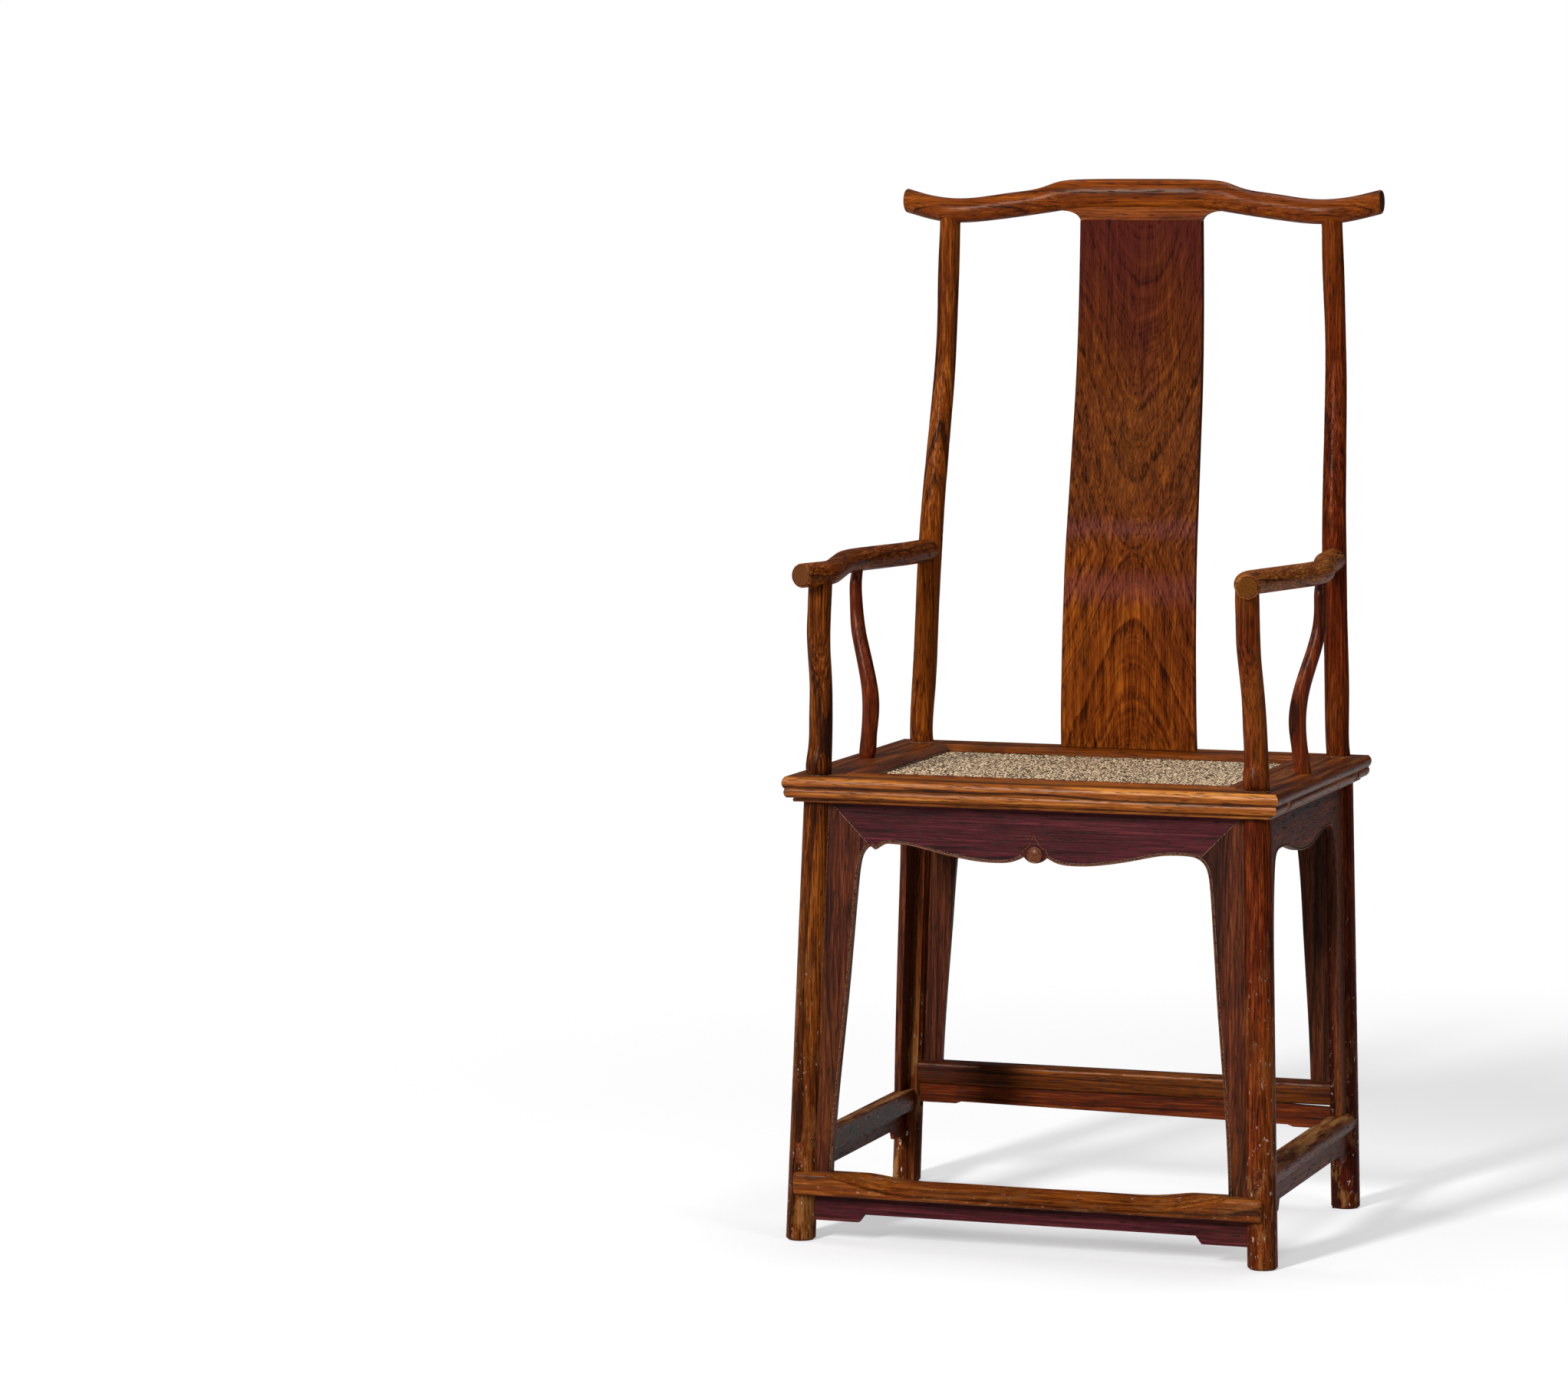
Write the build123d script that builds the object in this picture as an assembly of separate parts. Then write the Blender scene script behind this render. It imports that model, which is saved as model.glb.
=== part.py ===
from build123d import *
import os
from math import sqrt

# A yoke-back "official's hat" armchair in hardwood, in millimetres.
# X runs across the chair, -Y is the front and Z is up.  "right" is the +X side.
# The chair is the same on both sides, so each left piece mirrors its right one.

# ---- Seat ---------------------------------------------------------------
seat_width = 577.0          # outermost roll to outermost roll
seat_depth = 448.0
seat_height = 531.5         # floor to the top face of the seat frame
frame_thickness = 29.0
long_rail_width = 72.0      # front and rear rails, seen from above
short_rail_width = 90.0     # side rails
long_rail_face = 48.0       # top face outside the cover strips
short_rail_face = 60.0
roll_reach = 3.5            # how far the top roll stands out past the top face
roll_height = 14.0
bead_inset = 3.0            # second roll, back from the top one
lip_inset = 12.0            # thin lip under the rolls
lip_height = 4.5
rebate_depth = 11.5         # step that holds the mat and its cover strips
rail_tenon_width = 16.0     # through tenons of the long rails
rail_tenon_height = 10.0
rail_tenon_inset = 62.0     # tenon centre from the outer edge

# ---- Mat, cover strips, webbing and braces --------------------------------
webbing_thickness = 2.5
webbing_lap = 10.0          # webbing lies this far onto the rebate
mat_thickness = 2.5
mat_edge_gap = 3.0          # mat to the wall of the rebate
strip_width = 20.0
strip_height = 7.6
pegs_per_strip = 3
peg_diameter = 3.2
peg_depth = 5.0             # peg in the rail
plug_diameter = 5.0         # pegs that lock the webbing in its holes
plug_length = 10.0
plug_pitch = 42.0
plug_inset = 5.0            # plug centre from the inside of the rail
brace_pitches = 2           # braces stand this many plug pitches off centre
brace_width = 24.0
brace_height = 15.0
brace_sag = 17.0            # bow of each brace at mid length
brace_tenon_length = 14.0
brace_tenon_height = 7.2
brace_shoulder = 4.0

# ---- Legs and posts -------------------------------------------------------
post_inset_side = 33.0      # post centre from the outside of the seat
post_inset_front = 37.0
post_inset_rear = 27.5
splay_side = 15.5           # feet stand out past the seat holes by this much
splay_front = 19.5
splay_rear = -8.4
leg_diameter = 33.0
leg_foot_diameter = 34.0
leg_square = 13.0           # square inner corner of each leg
foot_rounding = 2.5
neck_diameter = 28.2        # where the timbers pass through the seat frame
front_post_diameter = 26.8
rear_post_diameter = 27.0

# ---- Arms -----------------------------------------------------------------
arm_height = 229.9          # seat top to the centre line of the arms
arm_diameter = 27.6
arm_tip_forward = 39.0      # arm tip past the front post
arm_tip_outward = 11.0
arm_end_rounding = 3.5
inner_bend_back = 16.8      # bend of the arm's centre line, behind the front post
inner_bend_inward = 5.9
inner_bend_radius = 80.0
outer_bend_forward = 17.3   # bend by the side post, in front of it
outer_bend_outward = 6.7
outer_bend_radius = 170.0
rear_bend_forward = 76.0    # last bend, in front of the rear post
rear_bend_outward = 7.6
rear_bend_radius = 90.0
front_post_lean = 8.4       # inward lean of the front posts up to the arm
side_post_diameter = 18.4
side_post_inset = 27.3      # foot of the side post from the outside of the seat
side_post_back = 2.5        # and behind the middle of the seat
arm_tenon_diameter = 9.0
arm_tenon_length = 9.0
side_post_tenon_length = 12.0

# ---- Back -----------------------------------------------------------------
back_height = 634.0         # seat top to the crest rail's centre at the posts
back_sweep = 36.0           # backward sweep of the rear posts
rear_post_lean = 23.0       # inward lean of the rear posts up to the crest
crest_half_length = 291.0
crest_end_rise = 11.6       # rail ends, above the rail at the posts
crest_end_sweep = 10.5      # rail ends, behind the rail at the posts
crest_centre_rise = 20.0
crest_centre_sweep = 14.0
crest_radius = 14.5
crest_end_radius = 14.2
crest_end_rounding = 3.0
pillow_half_height = 17.4
pillow_half_depth = 13.6
pillow_half_width = 76.0
lip_depth = 31.0            # centre of the pillow down to the splat shoulder
lip_flare = 21.0
crest_tenon_diameter = 12.0
crest_tenon_length = 12.0
splat_top_width = 148.0
splat_bottom_width = 164.5
splat_thickness = 11.0
splat_back_of_post = 6.0    # splat centre behind the posts, at the seat
splat_tongue = 10.0
splat_tongue_thickness = 7.0
splat_shoulder = 4.0

# ---- Boards below the seat --------------------------------------------------
board_thickness = 7.5
board_proud = 6.5           # outer face, out from the plane of the leg centres
board_housing = 5.0         # depth of the boards' edges in the legs
front_mitre = 49.5          # size of each mitre, from the leg and from the frame
side_front_mitre = 45.0
side_rear_mitre = 48.4
rear_mitre = 48.5
mitre_key_width = 10.0
mitre_key_thickness = 2.6
apron_tongue = 4.0
apron_tongue_thickness = 4.0
front_apron_arch = 46.3     # highest points of the wavy edges, below the frame
side_apron_arch = 43.0
arch_from_mitre = 23.5
front_apron_dip = 62.8      # lowest points of the wavy edges
side_apron_dip = 57.5
rear_apron_height = 46.0
bud_radius = 9.5
bud_height = 1.2            # how far the bud stands out of the front apron
bud_rim = 0.9               # edge of the apron left under the bud
bud_offset = 2.5            # the carver set it a little to the right of the middle
bud_notch = 13.05           # half width between the notches beside the bud
bud_notch_rise = 8.3        # notches, above the lowest points
bud_rise = 1.2              # lowest point under the bud, above the lowest points
bud_to_dip = 42.0           # from the bud to the lowest point on each side
chip_length = 8.5           # splinter lost from the left end of the front apron
chip_drop = 3.9
patch_length = 44.0

# ---- Stretchers -------------------------------------------------------------
foot_rail_top = 79.7
foot_rail_height = 25.7
foot_rail_depth = 33.0
foot_rail_proud = 24.0      # front face, out from the leg centres
foot_rail_overhang = 5.0    # past the leg centre at each end
foot_rail_corner = 5.0
foot_rail_wear = 20.0       # depth worn off the front arris by feet
foot_rail_wear_slope = 24.5
side_stretcher_top = 114.0
side_stretcher_height = 25.0
side_stretcher_inner = 10.6 # flat inner face, in from the leg centres
side_stretcher_outer = 15.6
side_stretcher_round = 11.4 # the round outer side starts this far in
side_stretcher_arris = 1.2
rear_stretcher_top = 148.0
rear_stretcher_height = 27.5
rear_stretcher_width = 24.0
rear_stretcher_corner = 6.0
stretcher_tenon_thickness = 9.0
blind_tenon_depth = 12.0
under_apron_thickness = 9.0 # boards under the front and rear rails
under_apron_proud = 3.0
side_under_thickness = 5.6
side_under_proud = 6.8
under_apron_tongue = 3.0
under_apron_tongue_thickness = 4.0
under_apron_notch = 7.0
front_under_apron = 21.8    # height at mid length, extra at the ends, end length
front_under_drop = 9.2
front_under_end = 69.0
side_under_apron = 20.0
side_under_drop = 12.0
side_under_end = 47.0
rear_under_apron = 22.7
rear_under_drop = 2.5
rear_under_end = 60.5
rear_under_tilt = 2.6       # its low edge falls to the right by this much each side of the middle
rear_under_slit = 0.3       # opening left under the rear stretcher
rear_under_gap = 3.1        # extra opening at its right end

# ---- Fits -------------------------------------------------------------------
joint_gap = 0.15            # each side of a wood joint
loose_gap = 0.3             # mat, webbing and strips against their neighbours
reach = 30.0                # how far cutting shapes run past the stock
trim = 2.0                  # extra length of boards before they are cut level

# ---- Curves, as shares of a rise and of a sweep -------------------------------
# Front post, upright and then a forward jog like a goose's neck:
# (share of the rise, forward shift in mm, change of diameter in mm).
goose_neck = ((0.12, 1.0, 1.0), (0.29, 2.0, 0.0), (0.38, 3.6, -0.5), (0.47, 7.0, -0.9),
              (0.55, 12.2, -0.8), (0.64, 18.0, -0.5), (0.72, 20.9, 0.1), (0.80, 21.0, 0.0),
              (0.87, 20.8, 0.1), (0.94, 20.3, 0.1), (1.0, 19.8, 0.1))
# Rear post, upright, back in a long S and upright again:
# (share of the rise, share of the sweep, change of diameter in mm).
post_sweep = ((0.12, 0.0, 1.8), (0.22, 0.05, 1.3), (0.31, 0.08, 1.6), (0.385, 0.16, 1.6),
              (0.46, 0.30, 0.7), (0.53, 0.51, 0.1), (0.60, 0.73, -0.8), (0.675, 0.96, -1.5),
              (0.745, 1.08, -2.5), (0.82, 1.08, -2.3), (0.91, 1.03, -1.6), (1.0, 0.98, -0.8))
# Side post, snaking outward: (share of the rise, outward, backward, change of diameter).
serpentine = ((0.11, -3.5, -2.9, 0.5), (0.20, -5.8, -4.3, 1.1), (0.285, -6.3, -4.5, 1.5),
              (0.37, -4.2, -3.8, 0.9), (0.46, 0.4, -2.0, 0.2), (0.55, 6.2, 1.4, -0.4),
              (0.64, 11.7, 4.8, -1.2), (0.72, 14.9, 8.2, -2.4), (0.81, 16.2, 8.3, -3.5),
              (0.90, 16.0, 7.8, -4.3), (1.0, 15.9, 7.4, -4.7))
# Splat, in side view: (share of its height, share of its sweep).
splat_sweep = ((0.0, 0.0), (0.07, -0.08), (0.14, -0.09), (0.20, -0.085), (0.265, -0.035),
               (0.33, 0.02), (0.39, 0.12), (0.455, 0.28), (0.52, 0.435), (0.585, 0.59),
               (0.65, 0.75), (0.715, 0.87), (0.78, 0.945), (0.85, 0.99), (0.92, 1.005), (1.0, 1.0))
# Wavy edge of an apron, from the top of its arch to its lowest point:
# (share of the length, share of the fall).
apron_wave = ((0.14, 0.055), (0.33, 0.335), (0.49, 0.595), (0.65, 0.805), (0.80, 0.95))
# Inner edge of each spandrel, from its mitre down to its foot:
# (share of the height, width in mm from the leg's centre line).
front_spandrel_edge = ((0.012, 60.5), (0.028, 57.0), (0.050, 54.9), (0.079, 53.6), (0.114, 52.7),
                       (0.264, 49.9), (0.43, 46.9), (0.68, 40.9), (1.0, 36.4))
side_front_spandrel_edge = ((0.012, 54.6), (0.026, 51.2), (0.047, 48.5), (0.087, 45.5), (0.137, 43.0),
                            (0.30, 39.5), (0.433, 38.3), (0.683, 37.0), (1.0, 35.0))
side_rear_spandrel_edge = ((0.009, 60.0), (0.022, 56.5), (0.043, 53.4), (0.078, 50.4), (0.128, 48.2),
                           (0.292, 46.5), (0.427, 46.0), (0.68, 44.0), (1.0, 38.5))
rear_spandrel_edge = ((0.012, 59.9), (0.026, 56.9), (0.045, 54.3), (0.087, 51.7), (0.142, 50.0),
                      (0.325, 46.8), (0.42, 45.8), (0.675, 42.4), (1.0, 39.6))
# Foot rail, worn hollow: (share of the half length, share of the wear).
wear_curve = ((0.0, 1.0), (0.35, 0.99), (0.58, 0.90), (0.72, 0.55), (0.83, 0.20), (0.95, 0.0))

FRONT = -1
REAR = 1
frame_bottom = seat_height - frame_thickness
ledge_z = seat_height - rebate_depth
webbing_z = ledge_z + joint_gap
mat_z = webbing_z + webbing_thickness + joint_gap
strip_z = mat_z + mat_thickness + joint_gap
arm_z = seat_height + arm_height
crest_z = seat_height + back_height
pillow_z = crest_z + crest_centre_rise
splat_top_z = pillow_z - lip_depth
opening_half_x = seat_width / 2 - short_rail_width
opening_half_y = seat_depth / 2 - long_rail_width
board_line = sqrt((leg_diameter / 2) ** 2 - board_proud ** 2)


# ---- Small helpers ------------------------------------------------------------
def box_between(low, high):
    size = [b - a for a, b in zip(low, high)]
    middle = [(a + b) / 2 for a, b in zip(low, high)]
    return Pos(*middle) * Box(*size)


def post_between(x, y, low, high, diameter):
    return Pos(x, y, (low + high) / 2) * Cylinder(diameter / 2, high - low)


def disc(x, y, z, diameter):
    return Plane(origin=(x, y, z)) * Circle(diameter / 2)


def left_of(piece):
    return mirror(piece, about=Plane.YZ)


def both_sides(right):
    return right + left_of(right)


# ---- Centre lines ---------------------------------------------------------------
def leg_x(z):
    return seat_width / 2 - post_inset_side + splay_side * (seat_height - z) / seat_height


def leg_y(end, z):
    share_down = (seat_height - z) / seat_height
    if end == FRONT:
        return -(seat_depth / 2 - post_inset_front) - splay_front * share_down
    return seat_depth / 2 - post_inset_rear + splay_rear * share_down


def front_post_at(share, forward):
    return (leg_x(seat_height) - front_post_lean * share,
            leg_y(FRONT, seat_height) - forward,
            seat_height + arm_height * share)


def rear_post_at(share, sweep_share):
    return (leg_x(seat_height) - rear_post_lean * share,
            leg_y(REAR, seat_height) + back_sweep * sweep_share,
            seat_height + back_height * share)


def side_post_at(share, outward, backward):
    return (seat_width / 2 - side_post_inset + outward,
            side_post_back + backward,
            seat_height + arm_height * share)


def sweep_at_arm():
    """Share of the rear post's sweep at arm height, between two of its stations."""
    share = arm_height / back_height
    for (low, a, _), (high, b, _) in zip(post_sweep, post_sweep[1:]):
        if low <= share <= high:
            return a + (b - a) * (share - low) / (high - low)
    return post_sweep[-1][1]


front_post_top = front_post_at(1.0, goose_neck[-1][1])
rear_post_top = rear_post_at(1.0, post_sweep[-1][1])
rear_post_at_arm = rear_post_at(arm_height / back_height, sweep_at_arm())
side_post_foot = side_post_at(0.0, 0.0, 0.0)
side_post_top = side_post_at(*serpentine[-1][:3])
crest_y = rear_post_top[1]
splat_foot_y = leg_y(REAR, seat_height) + splat_back_of_post
splat_head_y = crest_y + crest_centre_sweep


# ---- Legs and posts -------------------------------------------------------------
def neck(end, grow=0.0, over=0.0):
    """Straight round length that passes through the seat frame."""
    return loft([disc(leg_x(z), leg_y(end, z), z, neck_diameter + 2 * grow)
                 for z in (frame_bottom - over, seat_height + over)])


def leg_outline(end, z, diameter):
    """Round outside, square towards the middle of the chair."""
    square = Pos(-leg_square / 2, -end * leg_square / 2) * Rectangle(leg_square, leg_square)
    return Plane(origin=(leg_x(z), leg_y(end, z), z)) * (Circle(diameter / 2) + square)


def leg(end, grow=0.0):
    """Leg from the floor, with an eased foot, up to the underside of the seat frame."""
    sections = [leg_outline(end, 0.0, leg_foot_diameter - 2 * foot_rounding),
                leg_outline(end, foot_rounding, leg_foot_diameter + 2 * grow),
                leg_outline(end, frame_bottom, leg_diameter + 2 * grow)]
    return loft(sections, ruled=True)


def front_post():
    sections = [disc(*front_post_at(0.0, 0.0), neck_diameter)]
    for share, forward, change in goose_neck:
        sections.append(disc(*front_post_at(share, forward), front_post_diameter + change))
    return neck(FRONT) + loft(sections)


def rear_post(grow=0.0):
    sections = [disc(*rear_post_at(0.0, 0.0), neck_diameter + 2 * grow)]
    for share, sweep_share, change in post_sweep:
        sections.append(disc(*rear_post_at(share, sweep_share), rear_post_diameter + change + 2 * grow))
    return neck(REAR, grow) + loft(sections)


def side_post():
    sections = [disc(*side_post_foot, side_post_diameter)]
    for share, outward, backward, change in serpentine:
        sections.append(disc(*side_post_at(share, outward, backward), side_post_diameter + change))
    return loft(sections)


# ---- Arm ------------------------------------------------------------------------
def arm_route():
    """Level route over the front and side posts, back to the rear post."""
    front_x, front_y, _ = front_post_top
    side_x, side_y, _ = side_post_top
    rear_x, rear_y, _ = rear_post_at_arm
    return [(front_x + arm_tip_outward, front_y - arm_tip_forward, arm_z),
            (front_x - inner_bend_inward, front_y + inner_bend_back, arm_z),
            (side_x + outer_bend_outward, side_y - outer_bend_forward, arm_z),
            (rear_x + rear_bend_outward, rear_y - rear_bend_forward, arm_z),
            (rear_x, rear_y, arm_z)]


def arm_bar(grow=0.0):
    bends = (inner_bend_radius, outer_bend_radius, rear_bend_radius)
    path = FilletPolyline(*arm_route(), radius=bends)
    start = Plane(origin=path @ 0, z_dir=path % 0)
    return sweep(start * Circle(arm_diameter / 2 + grow), path=path)


def arm_pin(top, grow=0.0):
    """Round tenon on top of a post, standing in the arm."""
    x, y, z = top
    underside = z - arm_diameter / 2
    low, high = underside - arm_tenon_length, underside + arm_tenon_length + grow
    return post_between(x, y, low, high, arm_tenon_diameter + 2 * grow)


def arm_rear_tenon(grow=0.0):
    """Tenon of the arm, running back into the rear post."""
    x, y, z = rear_post_at_arm
    half = arm_tenon_diameter / 2 + grow
    tip = y + rear_post_diameter / 4 + grow
    return box_between((x - half, y - arm_diameter, z - half), (x + half, tip, z + half))


def side_post_pin(grow=0.0):
    x, y, z = side_post_foot
    return post_between(x, y, z - side_post_tenon_length - grow, z + 1, arm_tenon_diameter + 2 * grow)


# ---- Crest rail -----------------------------------------------------------------
def crest_stations():
    """(x, centre y, centre z, half depth, half height) along the right half."""
    post_x = rear_post_top[0]
    shoulder = pillow_half_width + lip_flare
    gap = post_x - shoulder
    inner = ((0.0, 1.0, 1.0, pillow_half_depth, pillow_half_height),
             (0.45 * pillow_half_width, 0.985, 1.0, pillow_half_depth, pillow_half_height),
             (0.88 * pillow_half_width, 0.94, 0.985, pillow_half_depth, pillow_half_height - 0.1),
             (shoulder, 0.80, 0.87, 13.9, 17.6),
             (shoulder + 0.16 * gap, 0.66, 0.62, 14.2, 15.9),
             (shoulder + 0.38 * gap, 0.44, 0.36, 14.4, 15.0),
             (shoulder + 0.66 * gap, 0.18, 0.11, 14.5, 14.8),
             (post_x, 0.0, 0.0, crest_radius, crest_radius))
    rows = [(x, crest_y + crest_centre_sweep * back, crest_z + crest_centre_rise * up, depth, height)
            for x, back, up, depth, height in inner]
    outer = crest_half_length - post_x
    for share, lift in ((0.33, 0.20), (0.67, 0.57), (1.0, 1.0)):
        radius = crest_radius + (crest_end_radius - crest_radius) * share
        rows.append((post_x + outer * share, crest_y + crest_end_sweep * lift,
                     crest_z + crest_end_rise * lift, radius, radius))
    return rows


def crest_bar(grow=0.0):
    right = crest_stations()
    left = [(-x, y, z, depth, height) for x, y, z, depth, height in reversed(right[1:])]
    sections = []
    for x, y, z, depth, height in left + right:
        place = Plane(origin=(x, y, z), x_dir=(0, 1, 0), z_dir=(1, 0, 0))
        sections.append(place * Ellipse(depth + grow, height + grow))
    return loft(sections)


def crest_lip():
    """Flat lip under the pillow, flaring into the rail on both sides."""
    half = splat_top_width / 2
    wing = half + lip_flare
    flare_z = splat_top_z + 10.5
    right = [Spline((half, splat_top_z), (half + 0.38 * lip_flare, splat_top_z + 7.8),
                    (wing, flare_z), tangents=((0.35, 1), (1, 0))),
             Line((wing, flare_z), (wing, pillow_z))]
    left = [mirror(edge, about=Plane.YZ) for edge in right]
    ends = [Line((-half, splat_top_z), (half, splat_top_z)), Line((-wing, pillow_z), (wing, pillow_z))]
    face = make_face(right + left + ends)
    plate = extrude(Plane.XZ * face, amount=splat_thickness / 2, both=True)
    return Pos(0, splat_head_y, 0) * plate


def crest_pin(grow=0.0):
    x, y, z = rear_post_top
    underside = z - crest_radius
    low, high = underside - crest_tenon_length, underside + crest_tenon_length + grow
    return post_between(x, y, low, high, crest_tenon_diameter + 2 * grow)


# ---- Splat ----------------------------------------------------------------------
def splat_plate():
    """S-curved plate that runs on past both ends of the splat."""
    rise, swing = splat_top_z - seat_height, splat_head_y - splat_foot_y
    sides = []
    for side in (-1, 1):
        shift = side * splat_thickness / 2
        points = [(splat_foot_y + swing * sweep_share + shift, seat_height + rise * share)
                  for share, sweep_share in splat_sweep]
        low, high = (points[0][0], seat_height - reach), (points[-1][0], splat_top_z + reach)
        sides.append(([Spline(*points), Line(low, points[0]), Line(points[-1], high)], low, high))
    (front, front_low, front_high), (back, back_low, back_high) = sides
    outline = front + back + [Line(front_low, back_low), Line(front_high, back_high)]
    return extrude(Plane.YZ * make_face(outline), amount=splat_bottom_width, both=True)


def splat_front_view():
    """Tapered outline of the splat between its shoulders, made into a thick block."""
    low, high = seat_height + joint_gap, splat_top_z - joint_gap
    half_low, half_high = splat_bottom_width / 2, splat_top_width / 2
    outline = Polyline((-half_low, low), (half_low, low), (half_high, high), (-half_high, high), close=True)
    return extrude(Plane.XZ * make_face(outline), amount=seat_depth, both=True)


def splat_tongue_bar(y, half_width, low, high, grow=0.0):
    half = splat_tongue_thickness / 2 + grow
    width = half_width - splat_shoulder + grow
    return box_between((-width, y - half, low), (width, y + half, high))


def foot_tongue(grow=0.0):
    low = seat_height - splat_tongue - grow
    return splat_tongue_bar(splat_foot_y, splat_bottom_width / 2, low, seat_height + 1, grow)


def head_tongue(grow=0.0):
    high = splat_top_z + splat_tongue + grow
    return splat_tongue_bar(splat_head_y, splat_top_width / 2, splat_top_z - 1, high, grow)


# ---- Seat frame -------------------------------------------------------------------
def edge_plane(outward, distance, half_length, z):
    """Section plane at one end of an edge: local x runs inward and local y up."""
    outward = Vector(*outward)
    along = (outward * -1).cross(Vector(0, 0, 1))
    origin = outward * distance - along * half_length + Vector(0, 0, z)
    return Plane(origin=origin, x_dir=outward * -1, z_dir=along)


def rail_section(width, face):
    """Across from the outer edge, and up from the underside."""
    top = frame_thickness
    roll_low, bead_low = top - roll_height, lip_height + 0.5
    bead_middle = (roll_low + bead_low) / 2
    return make_face([
        ThreePointArc((roll_reach, top), (0, top - roll_height * 0.46), (bead_inset, roll_low)),
        ThreePointArc((bead_inset, roll_low), (bead_inset - 1, bead_middle), (bead_inset + 2, bead_low)),
        Line((bead_inset + 2, bead_low), (lip_inset, lip_height)),
        ThreePointArc((lip_inset, lip_height), (lip_inset - 1.2, lip_height / 2), (lip_inset, 0)),
        Polyline((lip_inset, 0), (width, 0), (width, top - rebate_depth), (face, top - rebate_depth),
                 (face, top), (roll_reach, top))])


def mitred_end(end, half_x, half_y, step_x, step_y, low, high):
    """Block that holds a frame's front or rear member, cut along its mitres."""
    near, far = -0.5, 1.1
    points = [(-half_x + near * step_x, end * (half_y - near * step_y)),
              (half_x - near * step_x, end * (half_y - near * step_y)),
              (half_x - far * step_x, end * (half_y - far * step_y)),
              (-half_x + far * step_x, end * (half_y - far * step_y))]
    face = Pos(0, 0, low) * make_face(Polyline(*points, close=True))
    return extrude(face, amount=high - low, dir=(0, 0, 1))


def rail_block(end):
    return mitred_end(end, seat_width / 2, seat_depth / 2, short_rail_width, long_rail_width,
                      frame_bottom - 1, seat_height + 1)


def rail_tenon(end, grow=0.0):
    """Through tenon of a long rail, running out through a side rail."""
    low = frame_bottom + apron_tongue + 1.5 - grow
    y = end * (seat_depth / 2 - rail_tenon_inset)
    half = rail_tenon_width / 2 + grow
    outer = seat_width / 2 - bead_inset + grow * reach
    return box_between((opening_half_x - 4, y - half, low),
                       (outer, y + half, low + rail_tenon_height + 2 * grow))


def brace():
    """Bowed brace from front rail to rear rail."""
    z_end = (frame_bottom + ledge_z) / 2
    half = opening_half_y - joint_gap
    low, high = z_end - brace_height / 2, z_end + brace_height / 2
    outline = [ThreePointArc((-half, low), (0, low - brace_sag), (half, low)),
               ThreePointArc((-half, high), (0, high - brace_sag), (half, high)),
               Line((-half, low), (-half, high)), Line((half, low), (half, high))]
    bar = extrude(Plane.YZ * make_face(outline), amount=brace_width / 2, both=True)
    return Pos(brace_pitches * plug_pitch, 0, 0) * bar


def brace_tenon(end, grow=0.0):
    x, z = brace_pitches * plug_pitch, (frame_bottom + ledge_z) / 2
    half_w, half_h = brace_width / 2 - brace_shoulder + grow, brace_tenon_height / 2 + grow
    inner, outer = opening_half_y - 4, opening_half_y + brace_tenon_length + grow
    low, high = sorted((end * inner, end * outer))
    return box_between((x - half_w, low, z - half_h), (x + half_w, high, z + half_h))


def plug_places():
    """Webbing holes in the four rails, as a list for each rail."""
    x_line, y_line = opening_half_x + plug_inset, opening_half_y + plug_inset
    along_x, along_y = ([side * (k + 0.5) * plug_pitch for k in range(int(half // plug_pitch))
                         for side in (-1, 1)] for half in (opening_half_x, opening_half_y))
    return {"front": [(x, -y_line) for x in along_x], "rear": [(x, y_line) for x in along_x],
            "side": [(x_line, y) for y in along_y]}


# ---- Mat, cover strips and pegs -----------------------------------------------------
strip_half_x = seat_width / 2 - short_rail_face - loose_gap
strip_half_y = seat_depth / 2 - long_rail_face - loose_gap


def strip_section():
    """Half-round strip, steep towards the frame and sloping down towards the mat."""
    w, h = strip_width, strip_height
    return make_face([Line((0, 0), (w, 0)), Line((0, 0), (0, 0.8 * h)),
                      Spline((0, 0.8 * h), (0.14 * w, h), (0.45 * w, 0.98 * h), (0.8 * w, 0.68 * h),
                             (w, 0.25 * h)),
                      Line((w, 0.25 * h), (w, 0))])


def strip_bar(outward):
    distance, half = (strip_half_x, strip_half_y) if outward[0] else (strip_half_y, strip_half_x)
    plane = edge_plane(outward, distance, half, strip_z)
    return extrude(plane * strip_section(), amount=2 * half, dir=plane.z_dir)


def strip_block(end):
    return mitred_end(end, strip_half_x, strip_half_y, strip_width, strip_width,
                      strip_z - 1, strip_z + strip_height + 1)


def peg_places():
    """Peg centres along the four strips, as a list for each strip."""
    x_line, y_line = strip_half_x - strip_width / 2, strip_half_y - strip_width / 2
    shares = [2 * (k + 1) / (pegs_per_strip + 1) - 1 for k in range(pegs_per_strip)]
    return {"front": [(share * x_line, -y_line) for share in shares],
            "rear": [(share * x_line, y_line) for share in shares],
            "side": [(x_line, share * y_line) for share in shares]}


def sheet_between(half_x, half_y, bottom, thickness):
    return box_between((-half_x, -half_y, bottom), (half_x, half_y, bottom + thickness))


# ---- Boards around the legs ---------------------------------------------------------
side_middle_y = (leg_y(FRONT, frame_bottom) + leg_y(REAR, frame_bottom)) / 2


def leg_plane(under_seat, on_floor, x_dir):
    """Plane through two leg centre lines: local x runs between them and local y up."""
    up = (Vector(*under_seat) - Vector(*on_floor)).normalized()
    return Plane(origin=under_seat, x_dir=x_dir, z_dir=Vector(*x_dir).cross(up))


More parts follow.
